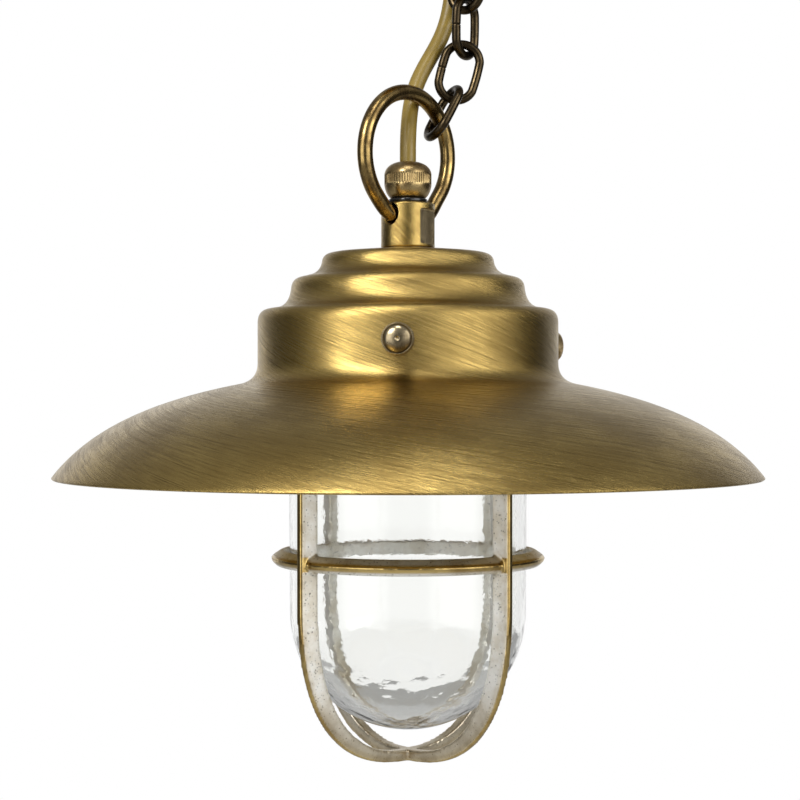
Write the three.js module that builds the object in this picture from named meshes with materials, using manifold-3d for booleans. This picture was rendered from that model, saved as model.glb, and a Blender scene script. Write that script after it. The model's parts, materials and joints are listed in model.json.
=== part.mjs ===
// Ship lantern: a spun brass shade over a caged glass globe, hung by a ring and chain from a ceiling rose.
// Millimetres, +Z up. The origin is the middle of the rose plate's top face, which lies on the ceiling.
// The lantern group has heights of its own, measured from a level plane just above the brim's shoulder.
import * as THREE from 'three';
import { mergeVertices } from 'three/addons/utils/BufferGeometryUtils.js';
import Module from 'manifold-3d';

const wasm = await Module();
wasm.setup();

const GAP = 0.3;                  // between pieces that touch
const OVERCUT = 2;                // how far a cutting tool runs past what it cuts
const ROUND = 32;                 // facets round a large turned piece
const SMALL_ROUND = 14;           // facets round a small one
const HOLDER_ROUND = 20;          // facets round the lampholder

// Shade
const BRIM_RADIUS = 155;
const BRIM_DROP = 33.4;           // rim below the lantern's zero level
const COLLAR_RADIUS = 66.2;
const COLLAR_BASE = 15.5;
const COLLAR_TOP = 33;
const DOME_TOP = 66;
const SHEET = 1.2;

// Cage and glass
const ARM_PROUD = 1.4;            // of the arms' outer edges beyond the flange
const ARM_DEPTH = 8.6;
const ARM_WIDTH = 5;
const ARM_BEND_RISE = 8.3;        // the arms start to bend this far above the bowl's middle
const CAGE_BOTTOM = -159.5;
const CAGE_POLE_THICKNESS = 5.1;
const BOW_FULLNESS = 2.45;        // 2 would bend the arms along an ellipse, more is squarer
const BOW_STEPS = 24;
const ARM_TURN = 43;              // degrees from the front to the first arm
const GUARD_LEVEL = -69.8;
const GUARD_INSET = 0.8;          // of the guard ring's edge inside the flange's
const GUARD_HEIGHT = 7;
const GUARD_EDGE = 1.8;           // how far the guard ring's rounded edge stands out
const FLANGE_BASE = 14;
const FLANGE_TOP = 28;
const FLANGE_WALL = 5.4;
const GLASS_ROOM = 1.1;           // between the glass's top and the arms
const GLASS_TAPER = 0.9;          // of the glass's radius, from its top to its bowl
const GLASS_FOOT_ROOM = 9.1;      // between the glass's lowest point and the arms
const GLASS_WALL = 4.4;
const GLASS_LIP = 6.4;
const GLASS_LIP_HEIGHT = 4;
const GASKET_HEIGHT = 2;

// Thumbscrews
const SCREW_LEVEL = 24;
const SCREW_TURNS = [-3.5, 116, -123];   // degrees from the front, towards the right
const SCREW_RADIUS = 2.5;
const SCREW_HEAD_RADIUS = 6.7;
const SCREW_HEAD_LENGTH = 7;
const SCREW_NECK_RADIUS = 4;
const SCREW_NECK_LENGTH = 2.6;
const SCREW_CROWN = 1.8;
const BOSS_RADIUS = 5;
const BOSS_DEPTH = 3.2;

// Hanger, gland and nipple
const HANGER_RADIUS = 11.9;
const HANGER_HEIGHT = 19.6;
const HANGER_FLAT = 9.7;          // a spanner flat's distance from the axis
const HANGER_FLAT_TURN = 62;
const HANGER_FLAT_MARGIN_LOW = 1.3;
const HANGER_FLAT_MARGIN_TOP = 2.7;
const NIPPLE_WALL = 1.1;
const NIPPLE_BOTTOM = 50;
const SEAL_HEIGHT = 1.8;
const SEAL_WALL = 3.3;
const GLAND_WALL = 5.1;           // at the gripping band, round the nipple's thread
const GLAND_HEIGHT = 15.9;
const GLAND_FOOT_WALL = 2.3;
const GLAND_BAND_LEVEL = 0.47;    // middle of the gripping band, as a share of the nut's height
const GLAND_BAND_HALF = 0.2;      // half of the band, as a share of the nut's height
const LOCKNUT_HEIGHT = 3.9;
const LOCKNUT_WALL = 3.1;         // at the hexagon's corners
const WASHER_RADIUS = 12;
const WASHER_HEIGHT = 1.6;

// Hanging ring
const RING_RADIUS = 27.3;
const RING_WIRE = 6.8;
const RING_TURN = 48;             // degrees, its plane about the vertical
const RING_SHIFT = -1.4;          // play of the ring in its holes
const RING_RISE = 26.4;         // ring centre above its pivot
const RING_LEAN = 2;
const PIN_PLAY = 1;               // between the ring's pins and their hole
const PIN_ROOF = 0.5;           // metal left above the pins' hole

// Chain
const LINK_WIRE = 4;
const LINK_LENGTH = 29.4;
const LINK_WIDTH = 20.2;
const LINK_PLAY = 0.8;            // gap where one link bears on the next
const RING_GRIP = [12.845, 11.122, 40.69];   // where the first link grips the ring's wire, from its pivot
// How each link lies, from the ring upwards: the way that it points, and the way that its width lies
const LINK_LAY = [
  { along: [0.42, 0.25, 0.84], across: [-0.12, 0.9, 0.42] },
  { along: [0.26, 0.02, 0.96], across: [0.96, 0.1, -0.26] },
  { along: [0.02, 0, 1], across: [0.54, 0.84, 0] },
  { along: [0, 0, 1], across: [0.8, -0.6, 0] },
];

// Cable
const CABLE_DIAMETER = 7.2;
// Route of the free stretch in the lantern's group, from the gland nut up to the rose, chosen by hand
const CABLE_ROUTE = [
  [0, 0, 102], [0, 0.2, 107], [0, 1.9, 114], [0.3, 4.9, 121], [0.9, 8.6, 128], [2, 12.2, 135],
  [4.2, 15.4, 142.5], [7.8, 18.3, 150], [12.2, 20.9, 157.5], [16.2, 23.2, 165.5], [18.9, 25.2, 174.5],
  [20.4, 27, 185], [21, 28.4, 196],
];
const BUSH_X = 21;                // the rose's cord bush, in the lantern's group
const BUSH_Y = 29;

// Lampholder
const HOLDER_RADIUS = 20;
const HOLDER_CAP_HEIGHT = 22;
const HOLDER_SKIRT_HEIGHT = 38;
const HOLDER_WALL = 2;
const HOLDER_NECK_WALL = 2.7;
const HOLDER_NECK_HEIGHT = 8;
const HOLDER_SHOULDER = 5;        // height of the cap's sloping shoulder
const HOLDER_FLOOR = 3;           // of the skirt, round the screw shell
const HOLDER_BEAD = 1.5;          // rolled rim at the skirt's foot
const SHELL_RADIUS = 13.6;
const SHELL_HEIGHT = 22;
const SHELL_WALL = 0.9;
const SHELL_EYE = 3.6;            // hole in the shell's roof, round the contact
const SHELL_DROP = 8;             // shell's roof below the skirt's top
const SHELL_SEAT = 1.2;           // room round the shell in the skirt's floor
const CONTACT_RADIUS = 2.6;
const CONTACT_DROP = 4.5;
const INSERT_RISE = 4;            // of the insert into the cap
const CORE_DIAMETER = 2.2;
const CORE_INSET = 0.1;           // of the outer cores inside the sheath's surface
const INSERT_HOLE_PITCH = 7;

// Ceiling rose
const HOOK_WIRE = 5;
const HOOK_BOWL = 8;              // radius of the hook's centre line
const HOOK_STEM = 20;             // bowl's middle up to the rose's cover
const ROSE_RADIUS = 47;
const ROSE_HEIGHT = 27;
const ROSE_CORNER = 12;
const PLATE_RADIUS = 43;
const PLATE_THICKNESS = 3;
const PLATE_BOSS_RADIUS = 7;
const PLATE_BOSS_HEIGHT = 9;
const PLATE_HOLE_PITCH = 58;
const PLATE_HOLE_RADIUS = 2.4;
const HOOK_NUT_ROOM = 0.36;       // between the hook nut and the cord bush beside it
const HOOK_NUT_HEIGHT = 5;
const HOOK_NUT_TAPER = 2.5;
const HOOK_NUT_RIM = 1.6;
const BUSH_WALL = 2.7;
const BUSH_FLANGE = 2;
const BUSH_SKIRT = 9;             // below the rose
const BUSH_TAIL = 4.5;            // inside the rose
const BUSH_GRIP = 6;              // how far the free stretch of cable runs into the bush
const BUSH_NOSE = 2;              // narrowing of the bush towards its mouth
const BUSH_RIM = 3.5;             // height of the bush's widest part
const TERMINAL_SIZE = [30, 13, 12];
const TERMINAL_Y = -26;
const TERMINAL_BORE = 1.7;

// Sizes that follow from the ones above
const PIN_HOLE = RING_WIRE / 2 + PIN_PLAY;
const HANGER_BASE = DOME_TOP + GAP;
const HANGER_TOP = HANGER_BASE + HANGER_HEIGHT;
const PIVOT_LEVEL = HANGER_TOP - PIN_HOLE - PIN_ROOF;
const SEAL_BASE = HANGER_TOP + GAP;
const GLAND_BASE = SEAL_BASE + SEAL_HEIGHT + GAP;
const GLAND_TOP = GLAND_BASE + GLAND_HEIGHT;
const NIPPLE_TOP = GLAND_BASE + GLAND_HEIGHT * 0.45;
const CABLE_HOLE = CABLE_DIAMETER / 2 + GAP;
const NIPPLE_RADIUS = CABLE_HOLE + NIPPLE_WALL;
const NIPPLE_HOLE = NIPPLE_RADIUS + GAP;
const SEAL_RADIUS = NIPPLE_HOLE + SEAL_WALL;
const GLAND_RADIUS = NIPPLE_HOLE + GLAND_WALL;
const GLAND_FOOT_RADIUS = NIPPLE_HOLE + GLAND_FOOT_WALL;
const LOCKNUT_RADIUS = NIPPLE_HOLE + LOCKNUT_WALL;
const HOLDER_NECK_RADIUS = NIPPLE_HOLE + HOLDER_NECK_WALL;
const BUSH_RADIUS = CABLE_HOLE + BUSH_WALL;
const CORE_PITCH = CABLE_DIAMETER / 2 - CORE_INSET - CORE_DIAMETER / 2;
const CEILING_UNDERSIDE = DOME_TOP - SHEET;
const BOSS_OUTER = COLLAR_RADIUS - SHEET - GAP;
const BOSS_INNER = BOSS_OUTER - BOSS_DEPTH;
const FLANGE_RADIUS = BOSS_INNER - GAP;
const ARM_RADIUS = FLANGE_RADIUS + ARM_PROUD;
const GUARD_RADIUS = FLANGE_RADIUS - GUARD_INSET;
const GLASS_TOP_RADIUS = ARM_RADIUS - ARM_DEPTH - GLASS_ROOM;
const GLASS_BOWL_RADIUS = GLASS_TOP_RADIUS - GLASS_TAPER;
const GLASS_BOWL_LEVEL = CAGE_BOTTOM + CAGE_POLE_THICKNESS + GLASS_FOOT_ROOM + GLASS_BOWL_RADIUS;
const ARM_STRAIGHT_END = GLASS_BOWL_LEVEL + ARM_BEND_RISE;
const GASKET_BASE = FLANGE_TOP + GAP;
const LIP_BASE = GASKET_BASE + GASKET_HEIGHT + GAP;
const WASHER_BASE = CEILING_UNDERSIDE - GAP - WASHER_HEIGHT;
const LOCKNUT_BASE = WASHER_BASE - GAP - LOCKNUT_HEIGHT;
const CAP_TOP = LOCKNUT_BASE - GAP;
const CAP_BASE = CAP_TOP - HOLDER_CAP_HEIGHT;
const SKIRT_TOP = CAP_BASE - GAP;
const SKIRT_BASE = SKIRT_TOP - HOLDER_SKIRT_HEIGHT;
const SHELL_TOP = SKIRT_TOP - SHELL_DROP;
const LOWER_TAIL_BOTTOM = NIPPLE_BOTTOM + 1;
const HOOK_MIDDLE = -ROSE_HEIGHT - HOOK_STEM - GAP;
const UPPER_TAIL_TOP = -ROSE_HEIGHT + BUSH_TAIL + 2;
const TERMINAL_LEVEL = -PLATE_THICKNESS - GAP - TERMINAL_SIZE[2] / 2;

const finish = (colour, roughness, metalness) =>
  new THREE.MeshStandardMaterial({ color: colour, roughness, metalness });
const BRASS = () => finish(0x8c7a45, 0.38, 1);
const DARK_LINK = () => finish(0x4a3f2c, 0.42, 1);
const CAST = () => finish(0x8a8468, 0.5, 1);
const RAW_BRASS = () => finish(0xb39a55, 0.35, 1);
const RUBBER = () => finish(0x141414, 0.7, 0);
const PORCELAIN = () => finish(0xe8e4da, 0.3, 0);
const STEEL = () => finish(0x9a9a98, 0.35, 1);
const CABLE_SHEATH = () => finish(0x8a7a3c, 0.5, 0);
const CORE_COLOURS = [['live', 0x6b4226], ['earth', 0x5f8a3a], ['neutral', 0x2f5fa8]];

// Booleans

function toSolid(geometry) {
  const bare = geometry.clone();
  bare.deleteAttribute('normal');
  bare.deleteAttribute('uv');
  const merged = mergeVertices(bare, 1e-4);
  return new wasm.Manifold(new wasm.Mesh({
    numProp: 3,
    vertProperties: new Float32Array(merged.attributes.position.array),
    triVerts: new Uint32Array(merged.index.array),
  }));
}

function toGeometry(solid) {
  const mesh = solid.getMesh();
  const geometry = new THREE.BufferGeometry();
  geometry.setAttribute('position', new THREE.BufferAttribute(mesh.vertProperties, 3));
  geometry.setIndex(new THREE.BufferAttribute(mesh.triVerts, 1));
  geometry.computeVertexNormals();
  return geometry;
}

function join(...geometries) {
  return toGeometry(geometries.map(toSolid).reduce((all, next) => all.add(next)));
}

function cut(body, ...tools) {
  return toGeometry(tools.map(toSolid).reduce((rest, tool) => rest.subtract(tool), toSolid(body)));
}

// Shapes

const radians = THREE.MathUtils.degToRad;

/** A turned solid about Z. Its [radius, height] outline closes itself, or starts and ends on the axis. */
function turned(outline, facets = ROUND) {
  const points = outline.map(([r, z]) => new THREE.Vector2(r, z));
  if (!points.some((p) => p.x === 0)) points.push(points[0].clone());
  if (THREE.ShapeUtils.area(points) < 0) points.reverse();
  const solid = new THREE.LatheGeometry(points, facets);
  solid.rotateX(Math.PI / 2);
  return solid;
}

/** A ring of rectangular section. */
function ring(inner, outer, base, top, facets = SMALL_ROUND) {
  return turned([[inner, base], [outer, base], [outer, top], [inner, top]], facets);
}

/** An upright cylinder from base to top. */
function rod(radius, base, top, facets = SMALL_ROUND) {
  const solid = new THREE.CylinderGeometry(radius, radius, top - base, facets);
  solid.rotateX(Math.PI / 2);
  solid.translate(0, 0, (base + top) / 2);
  return solid;
}

/** A round bar along a curve. */
function bar(curve, diameter, steps, sides = 10) {
  const centre = new THREE.Vector2();
  const corners = Array.from({ length: sides }, (_, i) =>
    new THREE.Vector2(diameter / 2, 0).rotateAround(centre, (i / sides) * Math.PI * 2));
  const options = { steps, extrudePath: curve, bevelEnabled: false };
  return new THREE.ExtrudeGeometry(new THREE.Shape(corners), options);
}

/** The inner side of a sheet whose outer side is a path of [radius, height] points. */
function offsetInwards(outer, thickness) {
  return outer.map((point, i) => {
    const before = outer[Math.max(i - 1, 0)];
    const after = outer[Math.min(i + 1, outer.length - 1)];
    const along = new THREE.Vector2(after[0] - before[0], after[1] - before[1]).normalize();
    return [point[0] - along.y * thickness, point[1] + along.x * thickness];
  });
}

/** Direction in plan, degrees from the front towards the right. */
function heading(turn) {
  return new THREE.Vector3(Math.sin(radians(turn)), -Math.cos(radians(turn)), 0);
}

/** Turns a piece built along +X to point along a heading. */
function pointOutwards(geometry, turn) {
  geometry.rotateZ(radians(turn - 90));
  return geometry;
}

// Shade

function shadeOutline() {
  const path = new THREE.Path();
  path.moveTo(BRIM_RADIUS, -BRIM_DROP);
  path.bezierCurveTo(BRIM_RADIUS - 16, -BRIM_DROP + 20.4, BRIM_RADIUS - 43, -1, COLLAR_RADIUS + 7.8, 6.4);
  path.quadraticCurveTo(COLLAR_RADIUS, 8, COLLAR_RADIUS, COLLAR_BASE);
  path.lineTo(COLLAR_RADIUS, COLLAR_TOP);
  path.quadraticCurveTo(COLLAR_RADIUS, COLLAR_TOP + 6.2, COLLAR_RADIUS - 5.5, COLLAR_TOP + 6.2);
  path.lineTo(COLLAR_RADIUS - 8, COLLAR_TOP + 6.7);
  path.quadraticCurveTo(COLLAR_RADIUS - 13.9, COLLAR_TOP + 7.8, COLLAR_RADIUS - 14.7, DOME_TOP - 17.5);
  path.quadraticCurveTo(COLLAR_RADIUS - 15.1, DOME_TOP - 13.2, COLLAR_RADIUS - 19, DOME_TOP - 12.8);
  path.lineTo(COLLAR_RADIUS - 22.7, DOME_TOP - 11.8);
  path.quadraticCurveTo(COLLAR_RADIUS - 27.4, DOME_TOP - 10.4, COLLAR_RADIUS - 28.2, DOME_TOP - 6);
  path.quadraticCurveTo(COLLAR_RADIUS - 28.6, DOME_TOP - 2.3, COLLAR_RADIUS - 32.5, DOME_TOP - 2.1);
  path.lineTo(WASHER_RADIUS + 1, DOME_TOP);
  path.lineTo(NIPPLE_HOLE, DOME_TOP);
  return path.getPoints(3).map((p) => [p.x, p.y]);
}

function makeShade() {
  const outer = shadeOutline();
  const inner = offsetInwards(outer, SHEET).reverse();
  const shell = turned([...outer, ...inner], ROUND);
  const holes = SCREW_TURNS.map((turn) => {
    const radius = SCREW_RADIUS + GAP;
    const hole = new THREE.CylinderGeometry(radius, radius, SHEET * 4, SMALL_ROUND / 2);
    hole.rotateZ(Math.PI / 2);
    hole.translate(COLLAR_RADIUS - SHEET / 2, 0, SCREW_LEVEL);
    return pointOutwards(hole, turn);
  });
  return cut(shell, ...holes);
}

// Cage

/** The curve of a pair of arms below their straight stretch, from the right-hand arm to the left-hand one. */
function bowPoints(radius, drop) {
  const power = 2 / BOW_FULLNESS;
  return Array.from({ length: BOW_STEPS + 1 }, (_, i) => {
    const turn = (Math.PI * i) / BOW_STEPS;
    const across = Math.sign(Math.cos(turn)) * Math.abs(Math.cos(turn)) ** power;
    return [radius * across, ARM_STRAIGHT_END - drop * Math.abs(Math.sin(turn)) ** power];
  });
}

function armShape() {
  const innerRadius = ARM_RADIUS - ARM_DEPTH;
  const outerDrop = ARM_STRAIGHT_END - CAGE_BOTTOM;
  const innerDrop = outerDrop - CAGE_POLE_THICKNESS;
  const shape = new THREE.Shape();
  shape.moveTo(ARM_RADIUS, FLANGE_TOP);
  bowPoints(ARM_RADIUS, outerDrop).forEach(([x, y]) => shape.lineTo(x, y));
  shape.lineTo(-ARM_RADIUS, FLANGE_TOP);
  shape.lineTo(-innerRadius, FLANGE_TOP);
  bowPoints(innerRadius, innerDrop).reverse().forEach(([x, y]) => shape.lineTo(x, y));
  shape.lineTo(innerRadius, FLANGE_TOP);
  return shape;
}

function armPair(turn) {
  const options = { depth: ARM_WIDTH, bevelEnabled: false };
  const pair = new THREE.ExtrudeGeometry(armShape(), options);
  pair.translate(0, 0, -ARM_WIDTH / 2);
  pair.rotateX(Math.PI / 2);
  return pointOutwards(pair, turn);
}

function makeCage() {
  const innerRadius = ARM_RADIUS - ARM_DEPTH;
  const half = GUARD_HEIGHT / 2;
  const guard = turned([
    [innerRadius, GUARD_LEVEL - half], [GUARD_RADIUS - GUARD_EDGE, GUARD_LEVEL - half],
    [GUARD_RADIUS, GUARD_LEVEL - 1], [GUARD_RADIUS, GUARD_LEVEL + 1],
    [GUARD_RADIUS - GUARD_EDGE, GUARD_LEVEL + half], [innerRadius, GUARD_LEVEL + half],
  ]);
  const flange = ring(FLANGE_RADIUS - FLANGE_WALL, FLANGE_RADIUS, FLANGE_BASE, FLANGE_TOP, ROUND);
  const cageBody = join(armPair(ARM_TURN), armPair(ARM_TURN - 90), guard, flange);
  const glassRoom = rod(FLANGE_RADIUS - FLANGE_WALL, FLANGE_BASE - GAP, FLANGE_TOP + OVERCUT, ROUND);
  return cut(cageBody, glassRoom);
}

// Glass

/** Points of an arc in [radius, height], a point at the pole lying exactly on the axis. */
function arcPoints(radius, centre, from, to, steps) {
  return Array.from({ length: steps + 1 }, (_, i) => {
    const angle = from + ((to - from) * i) / steps;
    const reach = Math.abs(angle) === 90 ? 0 : radius * Math.cos(radians(angle));
    return [reach, centre + radius * Math.sin(radians(angle))];
  });
}

function makeGlass() {
  const lipTop = LIP_BASE + GLASS_LIP_HEIGHT;
  const lipRadius = GLASS_TOP_RADIUS + GLASS_LIP;
  return turned([
    ...arcPoints(GLASS_BOWL_RADIUS - GLASS_WALL, GLASS_BOWL_LEVEL, -90, 0, 8),
    [GLASS_TOP_RADIUS - GLASS_WALL, lipTop], [lipRadius, lipTop], [lipRadius, LIP_BASE],
    [GLASS_TOP_RADIUS, LIP_BASE],
    ...arcPoints(GLASS_BOWL_RADIUS, GLASS_BOWL_LEVEL, 0, -90, 8),
  ]);
}

function makeGasket() {
  const inner = FLANGE_RADIUS - FLANGE_WALL + GAP;
  return ring(inner, GLASS_TOP_RADIUS + GLASS_LIP, GASKET_BASE, GASKET_BASE + GASKET_HEIGHT, ROUND);
}

// Thumbscrews and their bosses

function makeThumbscrew(turn) {
  const neckEnd = COLLAR_RADIUS + GAP + SCREW_NECK_LENGTH;
  const headEnd = neckEnd + SCREW_HEAD_LENGTH;
  const screw = turned([
    [0, FLANGE_RADIUS + GAP], [SCREW_RADIUS, FLANGE_RADIUS + GAP], [SCREW_RADIUS, COLLAR_RADIUS + GAP],
    [SCREW_NECK_RADIUS, COLLAR_RADIUS + GAP], [SCREW_NECK_RADIUS, neckEnd], [SCREW_HEAD_RADIUS, neckEnd],
    [SCREW_HEAD_RADIUS, headEnd], [SCREW_HEAD_RADIUS * 0.6, headEnd + SCREW_CROWN * 0.75],
    [0, headEnd + SCREW_CROWN],
  ], SMALL_ROUND);
  screw.rotateY(Math.PI / 2);
  screw.translate(0, 0, SCREW_LEVEL);
  return pointOutwards(screw, turn);
}

function makeBoss(turn) {
  const hole = SCREW_RADIUS + GAP;
  const boss = ring(hole, BOSS_RADIUS, BOSS_INNER - OVERCUT, COLLAR_RADIUS, SMALL_ROUND);
  boss.rotateY(Math.PI / 2);
  boss.translate(0, 0, SCREW_LEVEL);
  const reach = BOSS_RADIUS + OVERCUT;
  const room = ring(BOSS_INNER, BOSS_OUTER, SCREW_LEVEL - reach, SCREW_LEVEL + reach, ROUND * 2);
  return pointOutwards(toGeometry(toSolid(boss).intersect(toSolid(room))), turn);
}

// Hanger, seal and gland

function makeHangerBody() {
  const edge = 0.8;
  const body = turned([
    [NIPPLE_HOLE, HANGER_BASE], [HANGER_RADIUS, HANGER_BASE], [HANGER_RADIUS, HANGER_TOP - edge],
    [HANGER_RADIUS - edge, HANGER_TOP], [NIPPLE_HOLE, HANGER_TOP],
  ]);
  const holeLength = (HANGER_RADIUS + OVERCUT) * 2;
  const crossHole = new THREE.CylinderGeometry(PIN_HOLE, PIN_HOLE, holeLength, SMALL_ROUND);
  crossHole.rotateZ(Math.PI / 2);
  crossHole.rotateZ(radians(RING_TURN));
  crossHole.translate(0, 0, PIVOT_LEVEL);
  const flats = [HANGER_FLAT_TURN, HANGER_FLAT_TURN + 180].map((turn) => {
    const low = HANGER_BASE + HANGER_FLAT_MARGIN_LOW;
    const high = HANGER_TOP - HANGER_FLAT_MARGIN_TOP;
    const flat = new THREE.BoxGeometry(OVERCUT * 2, HANGER_RADIUS * 2, high - low);
    flat.translate(HANGER_FLAT + OVERCUT, 0, (low + high) / 2);
    return pointOutwards(flat, turn);
  });
  return cut(body, crossHole, ...flats);
}

function makeGlandNut() {
  const middle = GLAND_BASE + GLAND_HEIGHT * GLAND_BAND_LEVEL;
  const half = GLAND_HEIGHT * GLAND_BAND_HALF;
  const threadTop = NIPPLE_TOP + GAP;
  return turned([
    [NIPPLE_HOLE, GLAND_BASE], [GLAND_FOOT_RADIUS, GLAND_BASE],
    [GLAND_FOOT_RADIUS + 1.7, GLAND_BASE + GLAND_HEIGHT * 0.12], [GLAND_RADIUS, middle - half],
    [GLAND_RADIUS, middle + half], [GLAND_RADIUS - 1.1, GLAND_BASE + GLAND_HEIGHT * 0.82],
    [GLAND_RADIUS - 3.2, GLAND_BASE + GLAND_HEIGHT * 0.95], [CABLE_HOLE + 1.1, GLAND_TOP],
    [CABLE_HOLE, GLAND_TOP], [CABLE_HOLE, threadTop], [NIPPLE_HOLE, threadTop],
  ], SMALL_ROUND);
}

// Hanging ring: a round bow whose two ends turn in to pivot in the hanger's cross hole

function ringFrame() {
  const along = new THREE.Vector3(Math.cos(radians(RING_TURN)), Math.sin(radians(RING_TURN)), 0);
  const leaning = new THREE.Vector3(along.y, -along.x, 0);
  const up = new THREE.Vector3(0, 0, Math.cos(radians(RING_LEAN)));
  up.addScaledVector(leaning, Math.sin(radians(RING_LEAN)));
  return { along, up, pivot: new THREE.Vector3(0, 0, PIVOT_LEVEL) };
}

function makeHangingRing() {
  const { along, up, pivot } = ringFrame();
  const place = (s, rise) => pivot.clone().addScaledVector(along, s).addScaledVector(up, rise);
  const pinEnd = NIPPLE_HOLE + GAP;
  const route = [place(-pinEnd, 0), place(-HANGER_RADIUS, 0)];
  for (let turn = -135; turn <= 131; turn += 14) {
    const s = RING_SHIFT + RING_RADIUS * Math.sin(radians(turn));
    route.push(place(s, RING_RISE + RING_RADIUS * Math.cos(radians(turn))));
  }
  route.push(place(HANGER_RADIUS, 0), place(pinEnd, 0));
  return bar(new THREE.CatmullRomCurve3(route, false, 'centripetal'), RING_WIRE, 40, 8);
}

// Chain

const vector = (numbers) => new THREE.Vector3(...numbers);

/** The middle, direction and width of each link, from the ring upwards. */
function layChain() {
  const halfLine = (LINK_LENGTH - LINK_WIRE) / 2;
  const links = [];
  for (const { along, across } of LINK_LAY) {
    const up = vector(along).normalize();
    const wide = vector(across);
    wide.addScaledVector(up, -wide.dot(up)).normalize();
    const reach = LINK_LENGTH / 2 - LINK_WIRE - RING_WIRE / 2;
    let middle = new THREE.Vector3(0, 0, PIVOT_LEVEL).add(vector(RING_GRIP)).addScaledVector(up, reach);
    if (links.length > 0) {
      const below = links[links.length - 1];
      const pull = below.up.clone().add(up).normalize();
      const bearing = below.middle.clone().addScaledVector(below.up, halfLine);
      middle = bearing.addScaledVector(pull, -LINK_WIRE - LINK_PLAY).addScaledVector(up, halfLine);
    }
    links.push({ up, wide, middle });
  }
  return links;
}

/** A ring of wire drawn out into a link with two straight legs, standing along Z. */
function makeLink({ up, wide, middle }) {
  const steps = 20;
  const bend = (LINK_WIDTH - LINK_WIRE) / 2;
  const leg = (LINK_LENGTH - LINK_WIDTH) / 2;
  const link = new THREE.TorusGeometry(bend, LINK_WIRE / 2, 8, steps);
  link.rotateZ(Math.PI / steps);
  const places = link.attributes.position;
  for (let i = 0; i < places.count; i += 1) {
    places.setY(i, places.getY(i) + Math.sign(places.getY(i)) * leg);
  }
  const facing = new THREE.Vector3().crossVectors(wide, up);
  link.applyMatrix4(new THREE.Matrix4().makeBasis(wide, up, facing));
  link.translate(middle.x, middle.y, middle.z);
  return link;
}

// The chain's top hangs in the hook, which sets where the lantern is under the rose
const CHAIN = layChain();
const TOP_LINK = CHAIN[CHAIN.length - 1];
const HANG = TOP_LINK.middle.clone().addScaledVector(TOP_LINK.up, (LINK_LENGTH - LINK_WIRE) / 2);
const HOOK_BEARING = HANG.z - (HOOK_WIRE + LINK_WIRE) / 2 - LINK_PLAY;
const LANTERN_LEVEL = HOOK_MIDDLE - HOOK_BOWL - HOOK_BEARING;
const BUSH_OFFSET = new THREE.Vector3(BUSH_X - HANG.x, BUSH_Y - HANG.y, 0);
const HOOK_NUT_RADIUS = BUSH_OFFSET.length() - BUSH_RADIUS - HOOK_NUT_ROOM;

// Cable

function makeSupplyCable() {
  const mouth = -ROSE_HEIGHT - BUSH_SKIRT - LANTERN_LEVEL;
  const route = [...CABLE_ROUTE, [BUSH_X, BUSH_Y, mouth], [BUSH_X, BUSH_Y, mouth + BUSH_GRIP]];
  return bar(new THREE.CatmullRomCurve3(route.map(vector), false, 'centripetal'), CABLE_DIAMETER, 18);
}

function makeLowerTail() {
  return rod(CABLE_DIAMETER / 2, LOWER_TAIL_BOTTOM, CABLE_ROUTE[0][2] - GAP, 10);
}

function makeUpperTail() {
  const bottom = -ROSE_HEIGHT - BUSH_SKIRT + BUSH_GRIP + GAP;
  const tail = rod(CABLE_DIAMETER / 2, bottom, UPPER_TAIL_TOP, 10);
  tail.translate(BUSH_OFFSET.x, BUSH_OFFSET.y, 0);
  return tail;
}

function makeCore(points, steps) {
  return bar(new THREE.CatmullRomCurve3(points.map(vector), false, 'centripetal'), CORE_DIAMETER, steps, 8);
}

// Lampholder, hung on the nipple inside the dome

function makeWasher() {
  return ring(NIPPLE_HOLE, WASHER_RADIUS, WASHER_BASE, WASHER_BASE + WASHER_HEIGHT);
}

function makeLocknut() {
  const hexagon = rod(LOCKNUT_RADIUS, LOCKNUT_BASE, LOCKNUT_BASE + LOCKNUT_HEIGHT, 6);
  return cut(hexagon, rod(NIPPLE_HOLE, LOCKNUT_BASE - OVERCUT, LOCKNUT_BASE + LOCKNUT_HEIGHT + OVERCUT));
}

function makeHolderCap() {
  const neckFoot = CAP_TOP - HOLDER_NECK_HEIGHT;
  const bend = neckFoot - HOLDER_SHOULDER;
  const inner = HOLDER_RADIUS - HOLDER_WALL;
  return turned([
    [inner, CAP_BASE], [HOLDER_RADIUS, CAP_BASE], [HOLDER_RADIUS, bend], [HOLDER_RADIUS - 3, neckFoot - 1],
    [HOLDER_NECK_RADIUS + 2, neckFoot], [HOLDER_NECK_RADIUS, neckFoot + 2], [HOLDER_NECK_RADIUS, CAP_TOP],
    [NIPPLE_HOLE, CAP_TOP], [NIPPLE_HOLE, neckFoot - HOLDER_WALL], [inner - 2, neckFoot - 1 - HOLDER_WALL],
    [inner, bend - HOLDER_WALL],
  ], HOLDER_ROUND);
}

function makeHolderInsert() {
  const radius = HOLDER_RADIUS - HOLDER_WALL - GAP;
  const base = SHELL_TOP + GAP;
  const top = CAP_BASE + INSERT_RISE;
  const disc = rod(radius, base, top, HOLDER_ROUND);
  const cores = [-1, 0, 1].map((place) => {
    const hole = rod(CORE_DIAMETER / 2 + GAP, CAP_BASE - 1, top + OVERCUT, SMALL_ROUND);
    hole.translate(place * INSERT_HOLE_PITCH, 0, 0);
    return hole;
  });
  return cut(disc, ...cores);
}

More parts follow.
